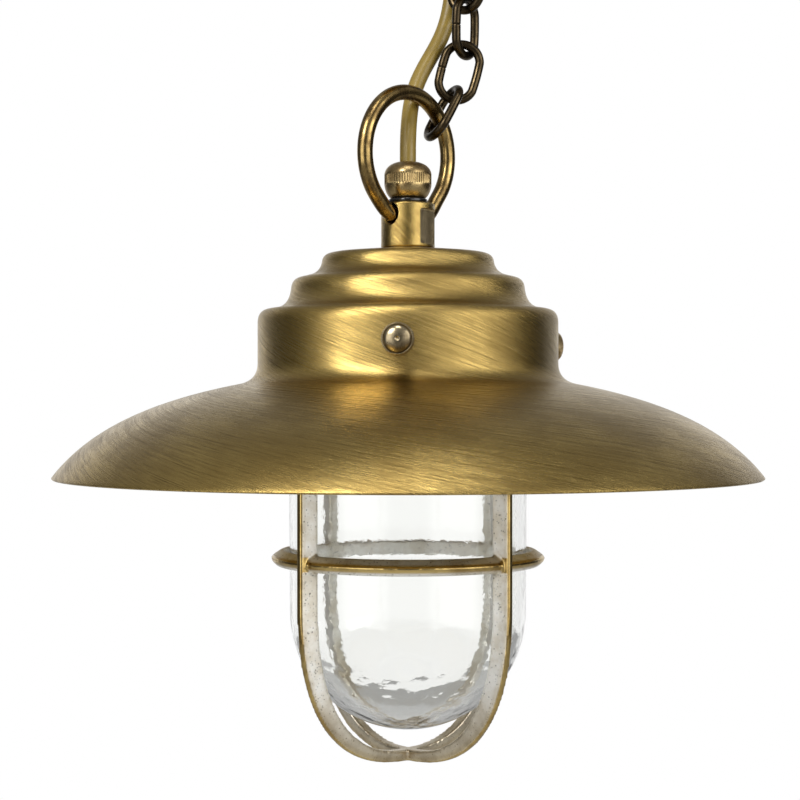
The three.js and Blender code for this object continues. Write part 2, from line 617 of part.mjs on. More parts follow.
function makeHolderSkirt() {
  const inner = HOLDER_RADIUS - HOLDER_WALL;
  const mouth = SHELL_RADIUS + SHELL_SEAT;
  const beadTop = SKIRT_BASE + HOLDER_FLOOR + 1;
  return turned([
    [inner, SKIRT_TOP], [inner, SKIRT_BASE + HOLDER_FLOOR], [mouth, SKIRT_BASE + HOLDER_FLOOR],
    [mouth, SKIRT_BASE], [HOLDER_RADIUS, SKIRT_BASE], [HOLDER_RADIUS + HOLDER_BEAD, SKIRT_BASE + HOLDER_BEAD],
    [HOLDER_RADIUS, beadTop], [HOLDER_RADIUS, SKIRT_TOP],
  ], HOLDER_ROUND);
}

function makeScrewShell() {
  const inner = SHELL_RADIUS - SHELL_WALL;
  const foot = SHELL_TOP - SHELL_HEIGHT;
  return turned([
    [inner, foot], [SHELL_RADIUS, foot], [SHELL_RADIUS, SHELL_TOP], [SHELL_EYE, SHELL_TOP],
    [SHELL_EYE, SHELL_TOP - SHELL_WALL], [inner, SHELL_TOP - SHELL_WALL],
  ], HOLDER_ROUND);
}

function makeCentreContact() {
  return rod(CONTACT_RADIUS, SHELL_TOP - CONTACT_DROP, SHELL_TOP);
}

// Ceiling rose, in the frame of the whole part

function makeRosePlate() {
  const base = -PLATE_THICKNESS;
  const disc = rod(PLATE_RADIUS, base, 0, ROUND);
  const boss = rod(PLATE_BOSS_RADIUS, base - PLATE_BOSS_HEIGHT, base + 1);
  const stem = rod(HOOK_WIRE / 2 + GAP, base - PLATE_BOSS_HEIGHT - OVERCUT, -1);
  const holes = [-1, 1].map((side) => {
    const hole = rod(PLATE_HOLE_RADIUS, base - OVERCUT, OVERCUT);
    hole.translate((side * PLATE_HOLE_PITCH) / 2, 0, 0);
    return hole;
  });
  return cut(join(disc, boss), stem, ...holes);
}

function makeRoseCover() {
  const floor = -ROSE_HEIGHT;
  const path = new THREE.Path();
  path.moveTo(ROSE_RADIUS, -GAP);
  path.lineTo(ROSE_RADIUS, floor + ROSE_CORNER);
  path.quadraticCurveTo(ROSE_RADIUS, floor + 2, ROSE_RADIUS - ROSE_CORNER, floor + 1);
  path.lineTo(HOOK_WIRE / 2 + GAP, floor);
  const outer = path.getPoints(4).map((p) => [p.x, p.y]);
  const shell = turned([...outer, ...offsetInwards(outer, -SHEET).reverse()], ROUND);
  const hole = rod(BUSH_RADIUS - BUSH_FLANGE + GAP, floor - OVERCUT, floor + 6);
  hole.translate(BUSH_OFFSET.x, BUSH_OFFSET.y, 0);
  return cut(shell, hole);
}

function makeCordBush() {
  const face = -ROSE_HEIGHT;
  const bush = turned([
    [CABLE_HOLE, face - BUSH_SKIRT], [BUSH_RADIUS - BUSH_NOSE, face - BUSH_SKIRT],
    [BUSH_RADIUS, face - BUSH_RIM], [BUSH_RADIUS, face - GAP], [BUSH_RADIUS - BUSH_FLANGE, face - GAP],
    [BUSH_RADIUS - BUSH_FLANGE, face + BUSH_TAIL], [CABLE_HOLE, face + BUSH_TAIL],
  ], SMALL_ROUND);
  bush.translate(BUSH_OFFSET.x, BUSH_OFFSET.y, 0);
  return bush;
}

function makeCeilingHook() {
  const tip = new THREE.Vector3(HOOK_BOWL * 0.95, 0, 3);
  const nutFoot = -ROSE_HEIGHT - HOOK_NUT_HEIGHT;
  const stem = [-PLATE_THICKNESS - 2, -ROSE_HEIGHT, nutFoot, nutFoot - 2];
  const route = stem.map((z) => new THREE.Vector3(0, 0, z));
  route.push(new THREE.Vector3(-HOOK_BOWL * 0.55, 0, HOOK_MIDDLE + HOOK_BOWL * 0.85));
  for (let turn = -90; turn <= 70; turn += 20) {
    const x = HOOK_BOWL * Math.sin(radians(turn));
    route.push(new THREE.Vector3(x, 0, HOOK_MIDDLE - HOOK_BOWL * Math.cos(radians(turn))));
  }
  route.push(tip.add(new THREE.Vector3(0, 0, HOOK_MIDDLE)));
  const hook = bar(new THREE.CatmullRomCurve3(route, false, 'centripetal'), HOOK_WIRE, 30, 8);
  hook.rotateZ(Math.atan2(HANG.y, HANG.x));
  return hook;
}

function makeHookNut() {
  const top = -ROSE_HEIGHT - GAP;
  return turned([
    [HOOK_WIRE / 2 + GAP, top - HOOK_NUT_HEIGHT], [HOOK_NUT_RADIUS - HOOK_NUT_TAPER, top - HOOK_NUT_HEIGHT],
    [HOOK_NUT_RADIUS, top - HOOK_NUT_RIM], [HOOK_NUT_RADIUS, top], [HOOK_WIRE / 2 + GAP, top],
  ], SMALL_ROUND);
}

function makeTerminalBlock() {
  const [length, width, height] = TERMINAL_SIZE;
  const block = new THREE.BoxGeometry(length, width, height);
  block.translate(0, TERMINAL_Y, TERMINAL_LEVEL);
  const bores = [-1, 0, 1].map((place) => {
    const bore = new THREE.CylinderGeometry(TERMINAL_BORE, TERMINAL_BORE, width + OVERCUT, SMALL_ROUND);
    bore.translate((place * length) / 3, TERMINAL_Y, TERMINAL_LEVEL);
    return bore;
  });
  return cut(block, ...bores);
}

// Assembly

function piece(name, geometry, material) {
  const mesh = new THREE.Mesh(geometry, material);
  mesh.name = name;
  return mesh;
}

function buildLantern() {
  const lantern = new THREE.Group();
  lantern.add(
    piece('shade', makeShade(), BRASS()),
    piece('cage_frame', makeCage(), CAST()),
    piece('glass_globe', makeGlass(), finish(0xd8e2dc, 0.05, 0)),
    piece('glass_gasket', makeGasket(), RUBBER()),
    piece('hanger_body', makeHangerBody(), BRASS()),
    piece('gland_seal', ring(NIPPLE_HOLE, SEAL_RADIUS, SEAL_BASE, SEAL_BASE + SEAL_HEIGHT), RUBBER()),
    piece('gland_nut', makeGlandNut(), BRASS()),
    piece('threaded_nipple', ring(CABLE_HOLE, NIPPLE_RADIUS, NIPPLE_BOTTOM, NIPPLE_TOP), RAW_BRASS()),
    piece('hanger_washer', makeWasher(), STEEL()),
    piece('hanger_locknut', makeLocknut(), STEEL()),
    piece('lampholder_cap', makeHolderCap(), RAW_BRASS()),
    piece('lampholder_insert', makeHolderInsert(), PORCELAIN()),
    piece('lampholder_skirt', makeHolderSkirt(), RAW_BRASS()),
    piece('lampholder_screw_shell', makeScrewShell(), STEEL()),
    piece('lampholder_contact', makeCentreContact(), STEEL()),
    piece('hanging_ring', makeHangingRing(), BRASS()),
    piece('supply_cable', makeSupplyCable(), CABLE_SHEATH()),
    piece('lower_cable_tail', makeLowerTail(), CABLE_SHEATH()),
  );
  SCREW_TURNS.forEach((turn, i) => {
    lantern.add(piece(`thumbscrew_${i + 1}`, makeThumbscrew(turn), RAW_BRASS()));
    lantern.add(piece(`collar_boss_${i + 1}`, makeBoss(turn), RAW_BRASS()));
  });
  CHAIN.forEach((link, i) => lantern.add(piece(`chain_link_${i + 1}`, makeLink(link), DARK_LINK())));
  CORE_COLOURS.forEach(([name, colour], i) => {
    const order = i - 1;
    const x = order * INSERT_HOLE_PITCH;
    const top = LOWER_TAIL_BOTTOM - GAP;
    const start = order * CORE_PITCH;
    const route = [[start, 0, top], [start, 0, top - 1.5], [x, 0, top - 6], [x, 0, CAP_BASE + 1]];
    lantern.add(piece(`lampholder_core_${name}`, makeCore(route, 8), finish(colour, 0.5, 0)));
  });
  return lantern;
}

function buildRose() {
  const rose = new THREE.Group();
  rose.add(
    piece('rose_plate', makeRosePlate(), STEEL()),
    piece('rose_cover', makeRoseCover(), BRASS()),
    piece('rose_cord_bush', makeCordBush(), RUBBER()),
    piece('ceiling_hook', makeCeilingHook(), BRASS()),
    piece('hook_nut', makeHookNut(), BRASS()),
    piece('terminal_block', makeTerminalBlock(), PORCELAIN()),
    piece('upper_cable_tail', makeUpperTail(), CABLE_SHEATH()),
  );
  CORE_COLOURS.forEach(([name, colour], i) => {
    const order = i - 1;
    const start = [BUSH_OFFSET.x + order * CORE_PITCH, BUSH_OFFSET.y, UPPER_TAIL_TOP + GAP];
    const end = [(order * TERMINAL_SIZE[0]) / 3, TERMINAL_Y + TERMINAL_SIZE[1] / 2 - 2, TERMINAL_LEVEL];
    const beside = -PLATE_BOSS_RADIUS - 6 + order * 3;
    const route = [
      start, [start[0], start[1], start[2] + 2], [start[0] - 2, start[1] - 3, TERMINAL_LEVEL - 3],
      [beside, 0, TERMINAL_LEVEL - 1], [beside + 1, -6, TERMINAL_LEVEL], [end[0], end[1] + 5, end[2]], end,
    ];
    rose.add(piece(`rose_core_${name}`, makeCore(route, 12), finish(colour, 0.5, 0)));
  });
  return rose;
}

const part = new THREE.Group();
const lantern = buildLantern();
lantern.position.set(-HANG.x, -HANG.y, LANTERN_LEVEL);
part.add(buildRose(), lantern);
export default part;
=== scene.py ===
"""Ship lantern: a spun brass shade over a caged glass globe, hung by ring, chain and cable from a ceiling rose.

Outlines are [radius, height] in millimetres. A lantern piece's heights are above the lantern's zero level.
"""
import json
import math

import bmesh
import bpy
import numpy as np
from mathutils import Matrix, Vector, noise


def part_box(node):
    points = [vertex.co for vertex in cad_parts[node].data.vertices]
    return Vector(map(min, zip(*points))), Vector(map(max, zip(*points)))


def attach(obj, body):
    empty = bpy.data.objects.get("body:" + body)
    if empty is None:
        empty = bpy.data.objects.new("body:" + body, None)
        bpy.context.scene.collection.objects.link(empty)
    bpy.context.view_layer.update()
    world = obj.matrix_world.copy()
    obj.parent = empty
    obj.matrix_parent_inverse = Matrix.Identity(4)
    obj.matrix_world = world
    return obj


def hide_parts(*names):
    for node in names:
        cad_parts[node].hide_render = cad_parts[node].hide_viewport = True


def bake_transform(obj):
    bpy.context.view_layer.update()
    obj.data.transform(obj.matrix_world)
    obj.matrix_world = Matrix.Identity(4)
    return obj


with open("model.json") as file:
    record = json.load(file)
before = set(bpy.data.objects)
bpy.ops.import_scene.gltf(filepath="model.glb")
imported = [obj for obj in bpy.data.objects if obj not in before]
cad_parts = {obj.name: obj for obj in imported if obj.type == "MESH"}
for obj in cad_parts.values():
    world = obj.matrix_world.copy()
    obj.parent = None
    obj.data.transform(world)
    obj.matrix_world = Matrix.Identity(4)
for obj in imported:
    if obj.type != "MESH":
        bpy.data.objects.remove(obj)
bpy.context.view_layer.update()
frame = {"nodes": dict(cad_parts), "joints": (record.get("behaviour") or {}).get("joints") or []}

MM = 0.001
JOINTS = {joint["name"]: joint for joint in frame["joints"]}

# Sizes shared by several pieces, in millimetres
BRIM_DROP = 34.2
DOME_TOP = 66
SHEET = 1.2
GAP = 0.3
SCREW_REACH = 61.5            # the thumbscrews' inner ends, from the lantern's axis
SCREW_HOLE = 2.8              # radius of the thumbscrews' holes in the collar
HANGER_RADIUS = 11.9
RING_WIRE = 6.8
LINK_WIRE = 4
LINK_LENGTH = 29.4
LINK_WIDTH = 20.2
CABLE_DIAMETER = 0.0072       # metres, as the cable's route is
CABLE_HOLE = 3.9
NIPPLE_HOLE = 5.3


def middle(node):
    """Middle of a CAD node's box."""
    low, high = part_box(node)
    return (low + high) / 2


def span(node):
    """Lowest and highest level of a CAD node, in millimetres above the lantern's zero level."""
    low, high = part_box(node)
    return (low.z - LANTERN.z) / MM, (high.z - LANTERN.z) / MM


shade_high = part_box("shade")[1]
LANTERN = Vector((middle("shade").x, middle("shade").y, shade_high.z - DOME_TOP * MM))
AT_LANTERN = Matrix.Translation(LANTERN) @ Matrix.Scale(MM, 4)
AT_ROSE = Matrix.Scale(MM, 4)


# ---------------------------------------------------------------- camera

CAMERA_DISTANCE = 0.8128
CAMERA_ASIDE = 0.0035
CAMERA_DROP = 0.00066
SENSOR = 36
LENS = 82.84


def make_camera():
    lens = bpy.data.cameras.new("camera")
    lens.sensor_width = SENSOR
    lens.lens = LENS
    lens.clip_start = 0.05
    lens.clip_end = 50
    camera = bpy.data.objects.new("camera", lens)
    aside = Vector((-CAMERA_ASIDE, -CAMERA_DISTANCE, -CAMERA_DROP))
    camera.location = LANTERN + aside
    camera.rotation_euler = (math.pi / 2, 0, 0)
    bpy.context.scene.collection.objects.link(camera)
    bpy.context.scene.camera = camera


make_camera()


# ---------------------------------------------------------------- node helpers

def plug(tree, socket, value):
    """Gives a socket a link or a plain value."""
    if isinstance(value, bpy.types.Node):
        value = value.outputs[0]
    if isinstance(value, bpy.types.NodeSocket):
        tree.links.new(value, socket)
    else:
        socket.default_value = value


def add(tree, kind, inputs=None, **settings):
    """Adds a node, with its settings and what goes into it."""
    made = tree.nodes.new(kind)
    for name, value in settings.items():
        setattr(made, name, value)
    for key, value in (inputs or {}).items():
        plug(tree, made.inputs[key], value)
    return made


def maths(tree, operation, *values):
    return add(tree, "ShaderNodeMath", dict(enumerate(values)), operation=operation)


def from_axis(tree, x, y):
    """Distance from the Z axis."""
    squares = maths(tree, "ADD", maths(tree, "MULTIPLY", x, x), maths(tree, "MULTIPLY", y, y))
    return maths(tree, "SQRT", squares)


def shape_tree(name, sizes):
    """An empty Geometry Nodes tree with named sizes, and its input node."""
    tree = bpy.data.node_groups.new(name, "GeometryNodeTree")
    sockets = tree.interface
    sockets.new_socket("Geometry", in_out="INPUT", socket_type="NodeSocketGeometry")
    for label, kind in sizes:
        sockets.new_socket(label, in_out="INPUT", socket_type="NodeSocket" + kind)
    sockets.new_socket("Material", in_out="INPUT", socket_type="NodeSocketMaterial")
    sockets.new_socket("Geometry", in_out="OUTPUT", socket_type="NodeSocketGeometry")
    return tree, tree.nodes.new("NodeGroupInput").outputs


def close_tree(tree, given, geometry):
    real = add(tree, "GeometryNodeRealizeInstances", {"Geometry": geometry})
    painted = add(tree, "GeometryNodeSetMaterial", {"Geometry": real, "Material": given["Material"]})
    add(tree, "NodeGroupOutput", {"Geometry": painted})
    return tree


# ---------------------------------------------------------------- Geometry Nodes trees

def spun_tree():
    """Turns an outline about Z. Its points are given from a circle of the path's radius."""
    tree, given = shape_tree("spun_outline", [("Facets", "Int"), ("Path Radius", "Float")])
    outline = add(tree, "GeometryNodeMeshToCurve", {"Mesh": given["Geometry"]})
    circle = {"Resolution": given["Facets"], "Radius": given["Path Radius"]}
    path = add(tree, "GeometryNodeCurvePrimitiveCircle", circle)
    skin = add(tree, "GeometryNodeCurveToMesh", {"Curve": path, "Profile Curve": outline})
    merged = add(tree, "GeometryNodeMergeByDistance", {"Geometry": skin, "Distance": 1e-6})
    return close_tree(tree, given, merged)


def wire_tree():
    """A round wire along a line of points."""
    tree, given = shape_tree("round_wire", [("Wire Radius", "Float"), ("Sides", "Int")])
    path = add(tree, "GeometryNodeMeshToCurve", {"Mesh": given["Geometry"]})
    circle = {"Resolution": given["Sides"], "Radius": given["Wire Radius"]}
    section = add(tree, "GeometryNodeCurvePrimitiveCircle", circle)
    sweep = {"Curve": path, "Profile Curve": section, "Fill Caps": True}
    return close_tree(tree, given, add(tree, "GeometryNodeCurveToMesh", sweep))


def link_tree():
    """A chain link standing along Y: a ring drawn out into two straight legs, butted in its left leg."""
    sizes = [("Wire Radius", "Float"), ("Bend Radius", "Float"), ("Leg", "Float"), ("Seam", "Float"),
             ("Steps", "Int")]
    tree, given = shape_tree("chain_link", sizes)
    circle = {"Resolution": given["Steps"], "Radius": given["Bend Radius"]}
    path = add(tree, "GeometryNodeCurvePrimitiveCircle", circle)
    place = add(tree, "ShaderNodeSeparateXYZ", {0: add(tree, "GeometryNodeInputPosition")})
    away = maths(tree, "DIVIDE", place.outputs["Y"], given["Bend Radius"])
    eased = maths(tree, "MINIMUM", maths(tree, "MULTIPLY", maths(tree, "ABSOLUTE", away), 4.0), 1.0)
    side = maths(tree, "MULTIPLY", maths(tree, "SIGN", place.outputs["Y"]), given["Leg"])
    shift = add(tree, "ShaderNodeCombineXYZ", {"Y": maths(tree, "MULTIPLY", side, eased)})
    drawn = add(tree, "GeometryNodeSetPosition", {"Geometry": path, "Offset": shift})
    spaced = add(tree, "GeometryNodeResampleCurve", {"Curve": drawn, "Count": given["Steps"]})
    spot = add(tree, "ShaderNodeSeparateXYZ", {0: add(tree, "GeometryNodeInputPosition")})
    level = maths(tree, "DIVIDE", spot.outputs["Y"], given["Wire Radius"])
    near = maths(tree, "LESS_THAN", maths(tree, "ABSOLUTE", level), 0.16)
    left = maths(tree, "LESS_THAN", spot.outputs["X"], 0.0)
    notch = maths(tree, "MULTIPLY", maths(tree, "MULTIPLY", near, left), given["Seam"])
    circle = {"Resolution": 20, "Radius": given["Wire Radius"]}
    section = add(tree, "GeometryNodeCurvePrimitiveCircle", circle)
    sweep = {"Curve": spaced, "Profile Curve": section, "Scale": maths(tree, "SUBTRACT", 1.0, notch)}
    return close_tree(tree, given, add(tree, "GeometryNodeCurveToMesh", sweep))


def knurl_tree():
    """Rolls a knurl into a turned body, between two levels: straight ribs, or diamonds where they slant."""
    sizes = [("Ribs", "Int"), ("Slant", "Float"), ("Depth", "Float"), ("Low", "Float"), ("High", "Float"),
             ("Fade", "Float"), ("Inner Radius", "Float")]
    tree, given = shape_tree("knurl", sizes)
    spot = add(tree, "ShaderNodeSeparateXYZ", {0: add(tree, "GeometryNodeInputPosition")})
    x, y, z = spot.outputs
    angle = maths(tree, "ARCTAN2", y, x)
    lean = maths(tree, "MULTIPLY", z, given["Slant"])
    half = maths(tree, "DIVIDE", given["Ribs"], 2.0)
    right = maths(tree, "COSINE", maths(tree, "MULTIPLY", maths(tree, "ADD", angle, lean), half))
    left = maths(tree, "COSINE", maths(tree, "MULTIPLY", maths(tree, "SUBTRACT", angle, lean), half))
    crest = maths(tree, "POWER", maths(tree, "ABSOLUTE", maths(tree, "MULTIPLY", right, left)), 0.6)
    groove = maths(tree, "SUBTRACT", 1.0, crest)
    top_room = maths(tree, "DIVIDE", maths(tree, "SUBTRACT", given["High"], z), given["Fade"])
    foot_room = maths(tree, "DIVIDE", maths(tree, "SUBTRACT", z, given["Low"]), given["Fade"])
    room = maths(tree, "MINIMUM", maths(tree, "MINIMUM", top_room, foot_room), 1.0)
    room = maths(tree, "MAXIMUM", room, 0.0)
    reach = from_axis(tree, x, y)
    outside = maths(tree, "GREATER_THAN", reach, given["Inner Radius"])
    depth = maths(tree, "MULTIPLY", maths(tree, "MULTIPLY", groove, room), given["Depth"])
    inwards = maths(tree, "MULTIPLY", maths(tree, "MULTIPLY", depth, outside), -1.0)
    share = maths(tree, "DIVIDE", inwards, reach)
    shift = add(tree, "ShaderNodeCombineXYZ", {
        "X": maths(tree, "MULTIPLY", x, share), "Y": maths(tree, "MULTIPLY", y, share)})
    rolled = add(tree, "GeometryNodeSetPosition", {"Geometry": given["Geometry"], "Offset": shift})
    return close_tree(tree, given, rolled)


SPUN = spun_tree()
WIRE = wire_tree()
LINK = link_tree()
KNURL = knurl_tree()


# ---------------------------------------------------------------- mesh helpers

def settled(name, mesh, place=None, sharp=35):
    """A finished object from a mesh: doubles merged, faces outwards, smooth with its real edges sharp."""
    if place is not None:
        mesh.transform(place)
    form = bmesh.new()
    form.from_mesh(mesh)
    bmesh.ops.remove_doubles(form, verts=form.verts, dist=1e-6)
    bmesh.ops.recalc_face_normals(form, faces=form.faces)
    form.to_mesh(mesh)
    form.free()
    mesh.shade_smooth()
    mesh.set_sharp_from_angle(angle=math.radians(sharp))
    mesh.name = name
    piece = bpy.data.objects.new(name, mesh)
    bpy.context.scene.collection.objects.link(piece)
    return piece


def evaluated_mesh(piece):
    """The mesh that an object's modifiers give. The object itself is removed."""
    graph = bpy.context.evaluated_depsgraph_get()
    mesh = bpy.data.meshes.new_from_object(piece.evaluated_get(graph))
    bpy.data.objects.remove(piece)
    return mesh


def shaped(name, tree, mesh, sizes, material, place, sharp):
    """Runs a Geometry Nodes tree on a mesh, and keeps the result as a plain object."""
    blank = bpy.data.objects.new(name + "_blank", mesh)
    bpy.context.scene.collection.objects.link(blank)
    modifier = blank.modifiers.new("shape", "NODES")
    modifier.node_group = tree
    values = dict(sizes, Material=material)
    for item in tree.interface.items_tree:
        if item.in_out == "INPUT" and item.name in values:
            modifier[item.identifier] = values[item.name]
    return settled(name, evaluated_mesh(blank), place, sharp)


def line_mesh(name, points, closed=False):
    """Points joined by edges."""
    edges = [(i, i + 1) for i in range(len(points) - 1)]
    if closed:
        edges.append((len(points) - 1, 0))
    mesh = bpy.data.meshes.new(name)
    mesh.from_pydata([tuple(p) for p in points], edges, [])
    return mesh


PATH_RADIUS = 10              # of the circle that an outline is carried round


def turned(name, outline, material, place=AT_LANTERN, facets=96, sharp=35):
    """A turned piece. Its outline closes on itself, or starts and ends on the axis."""
    points = [(radius - PATH_RADIUS, -height, 0) for radius, height in outline]
    closed = not any(radius == 0 for radius, _ in outline)
    sizes = {"Facets": facets, "Path Radius": float(PATH_RADIUS)}
    return shaped(name, SPUN, line_mesh(name, points, closed), sizes, material, place, sharp)


def softened(corners, radius, steps=3, closed=True):
    """An outline with its corners rounded off."""
    rounded = []
    for i, corner in enumerate(corners):
        here = Vector(corner)
        back = Vector(corners[i - 1]) - here
        on = Vector(corners[(i + 1) % len(corners)]) - here
        end = not closed and i in (0, len(corners) - 1)
        if end or back.angle(on) > math.radians(155):
            rounded.append(tuple(here))
            continue
        first = here + back.normalized() * min(radius, back.length * 0.45)
        last = here + on.normalized() * min(radius, on.length * 0.45)
        rounded += curved(first, here, last, steps=steps, whole=True)
    return rounded


def curved(*controls, steps=12, whole=False):
    """Points of a Bezier curve, without its first unless the whole is asked for."""
    points = []
    for i in range(0 if whole else 1, steps + 1):
        level = [Vector(c) for c in controls]
        while len(level) > 1:
            level = [a.lerp(b, i / steps) for a, b in zip(level, level[1:])]
        points.append(tuple(level[0]))
    return points


def inner_side(outer, thickness):
    """The inner side of a sheet, from the outer side's points."""
    inner = []
    for i, (radius, height) in enumerate(outer):
        before = Vector(outer[max(i - 1, 0)])
        after = Vector(outer[min(i + 1, len(outer) - 1)])
        along = (after - before).normalized()
        inner.append((radius - along.y * thickness, height + along.x * thickness))
    return inner


def smooth_path(points, per_span=8):
    """A centripetal curve through points."""
    given = [Vector(p) for p in points]
    given = [given[0] * 2 - given[1], *given, given[-1] * 2 - given[-2]]
    path = []
    for i in range(1, len(given) - 2):
        p = given[i - 1:i + 3]
        times = [0.0]
        for a, b in zip(p, p[1:]):
            times.append(times[-1] + max((b - a).length, 1e-9) ** 0.5)
        for step in range(per_span):
            t = times[1] + (times[2] - times[1]) * step / per_span
            level = p
            for reach in (1, 2, 3):
                level = [
                    level[k].lerp(level[k + 1], blend_share(t, times, k, reach))
                    for k in range(len(level) - 1)
                ]
            path.append(level[0])
    return [*path, given[-2]]


def blend_share(t, times, k, reach):
    """How far t has gone on the span that one step of the curve's construction mixes."""
    low = k if reach < 3 else 1
    high = low + (reach if reach < 3 else 1)
    return (t - times[low]) / (times[high] - times[low])


def wire(name, path, radius, material, place=None, sides=24):
    """A round bar or cable along a path."""
    sizes = {"Wire Radius": float(radius), "Sides": sides}
    return shaped(name, WIRE, line_mesh(name, path), sizes, material, place, sharp=50)


def bored(piece, cutters, sharp=30):
    """Cuts tools out of a piece. The tools are used up."""
    name = piece.name
    for cutter in cutters:
        cut = piece.modifiers.new("cut", "BOOLEAN")
        cut.object = cutter
        cut.operation = "DIFFERENCE"
        cut.solver = "EXACT"
    mesh = evaluated_mesh(piece)
    for cutter in cutters:
        bpy.data.objects.remove(cutter)
    return settled(name, mesh, sharp=sharp)


def heading(joint):
    """A joint's axis, and its turn about Z from +X."""
    axis = Vector(JOINTS[joint]["axis"])
    return axis, math.atan2(axis.y, axis.x)


def laid(place, turn):
    """Lays a piece that is turned about Z on its side, along a level axis through a place."""
    lie = Matrix.Translation(place) @ Matrix.Rotation(turn, 4, "Z")
    return lie @ Matrix.Rotation(math.pi / 2, 4, "Y") @ Matrix.Scale(MM, 4)


def laid_at_screw(number):
    """Lays a piece along a thumbscrew's axis, with its zero on the lantern's axis."""
    _, turn = heading(f"thumbscrew_{number}_slide")
    return laid((LANTERN.x, LANTERN.y, middle(f"thumbscrew_{number}").z), turn)


def placed(piece, body, slot, *nodes):
    """Sets a piece on its body and hides the CAD nodes it stands for. Its finish's name, slot, is not used."""
    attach(piece, body)
    if nodes:
        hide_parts(*nodes)
    return piece


# ---------------------------------------------------------------- finishes

def effect(name, inputs, outputs):
    """An empty shader node group with named sockets, and its input and output nodes."""
    tree = bpy.data.node_groups.new(name, "ShaderNodeTree")
    for label, kind, value in inputs:
        socket = tree.interface.new_socket(label, in_out="INPUT", socket_type="NodeSocket" + kind)
        if value is not None:
            socket.default_value = value
    for label, kind in outputs:
        tree.interface.new_socket(label, in_out="OUTPUT", socket_type="NodeSocket" + kind)
    return tree, tree.nodes.new("NodeGroupInput").outputs, tree.nodes.new("NodeGroupOutput").inputs


def speckle(tree, vector, scale, detail, roughness=0.6):
    inputs = {"Vector": vector, "Scale": scale, "Detail": detail, "Roughness": roughness}
    return add(tree, "ShaderNodeTexNoise", inputs).outputs["Fac"]


def remap(tree, value, low, high, to_low=0.0, to_high=1.0):
    inputs = {"Value": value, "From Min": low, "From Max": high, "To Min": to_low, "To Max": to_high}
    return add(tree, "ShaderNodeMapRange", inputs, clamp=True, interpolation_type="SMOOTHSTEP").outputs[0]


def brushing_effect():
    """Hand-brushed lines that wind round the piece's own axis at a slant."""
    inputs = [("Vector", "Vector", None), ("Slant", "Float", 0.36), ("Fineness", "Float", 60.0)]
    tree, given, out = effect("hand_brushing", inputs, [("Lines", "Float"), ("Broad Lines", "Float")])
    place = add(tree, "ShaderNodeSeparateXYZ", {0: given["Vector"]})
    x, y, z = place.outputs
    radius = maths(tree, "MAXIMUM", from_axis(tree, x, y), 0.004)
    rise = maths(tree, "SUBTRACT", maths(tree, "DIVIDE", z, radius), maths(tree, "LOGARITHM", radius, math.e))
    wind = maths(tree, "ADD", maths(tree, "ARCTAN2", y, x), maths(tree, "DIVIDE", rise, given["Slant"]))
    along = maths(tree, "MULTIPLY", maths(tree, "SUBTRACT", z, radius), 0.9)
    for label, share, detail in (("Lines", 1.0, 5.0), ("Broad Lines", 0.22, 3.0)):
        coordinates = add(tree, "ShaderNodeCombineXYZ", {
            "X": maths(tree, "COSINE", wind), "Y": maths(tree, "SINE", wind), "Z": along})
        scale = maths(tree, "MULTIPLY", given["Fineness"], share)
        plug(tree, out[label], remap(tree, speckle(tree, coordinates, scale, detail, 0.7), 0.33, 0.67))
    return tree


def patina_effect():
    """Blotches of darker tarnish, large and small."""
    inputs = [("Vector", "Vector", None), ("Size", "Float", 30.0), ("Spread", "Float", 0.5)]
    tree, given, out = effect("patina", inputs, [("Tarnish", "Float"), ("Specks", "Float")])
    broad = speckle(tree, given["Vector"], given["Size"], 6.0, 0.62)
    low = maths(tree, "SUBTRACT", given["Spread"], 0.14)
    high = maths(tree, "ADD", given["Spread"], 0.14)
    plug(tree, out["Tarnish"], remap(tree, broad, low, high))
    fine = speckle(tree, given["Vector"], maths(tree, "MULTIPLY", given["Size"], 34.0), 2.0, 0.5)
    plug(tree, out["Specks"], remap(tree, fine, 0.62, 0.72))
    return tree


def casting_effect():
    """The grainy, pitted skin of a sand casting."""
    inputs = [("Vector", "Vector", None), ("Grain", "Float", 900.0)]
    tree, given, out = effect("cast_skin", inputs, [("Pits", "Float"), ("Height", "Float")])
    grains = add(tree, "ShaderNodeTexVoronoi", {"Vector": given["Vector"], "Scale": given["Grain"]})
    ragged = speckle(tree, given["Vector"], maths(tree, "MULTIPLY", given["Grain"], 0.5), 5.0, 0.7)
    deep = remap(tree, grains.outputs["Distance"], 0.42, 0.1)
    pits = maths(tree, "MULTIPLY", deep, remap(tree, ragged, 0.45, 0.62))
    plug(tree, out["Pits"], pits)
    plug(tree, out["Height"], maths(tree, "SUBTRACT", ragged, maths(tree, "MULTIPLY", pits, 0.8)))
    return tree


BRUSHING = brushing_effect()
PATINA = patina_effect()
CASTING = casting_effect()


def finish(name):
    """A new material with its node tree, its shader and the piece's own coordinates."""
    material = bpy.data.materials.new(name)
    material.use_nodes = True
    tree = material.node_tree
    shader = next(n for n in tree.nodes if n.type == "BSDF_PRINCIPLED")
    return material, tree, shader, add(tree, "ShaderNodeTexCoord").outputs["Object"]


def use(tree, group, **inputs):
    made = add(tree, "ShaderNodeGroup", node_tree=group)
    for key, value in inputs.items():
        plug(tree, made.inputs[key.replace("_", " ")], value)
    return made.outputs


def about(tree, coordinates, point):
    """Coordinates with a point of the piece as their zero."""
    shift = tuple(-c for c in point)
    return add(tree, "ShaderNodeMapping", {"Vector": coordinates, "Location": shift})


def tint(tree, factor, first, second):
    """A colour between two."""
    mixed = add(tree, "ShaderNodeMix", data_type="RGBA")
    plug(tree, mixed.inputs["Factor"], factor)
    for socket, colour in ((mixed.inputs[6], first), (mixed.inputs[7], second)):
        plug(tree, socket, colour if isinstance(colour, bpy.types.NodeSocket) else (*colour, 1))
    return mixed.outputs[2]


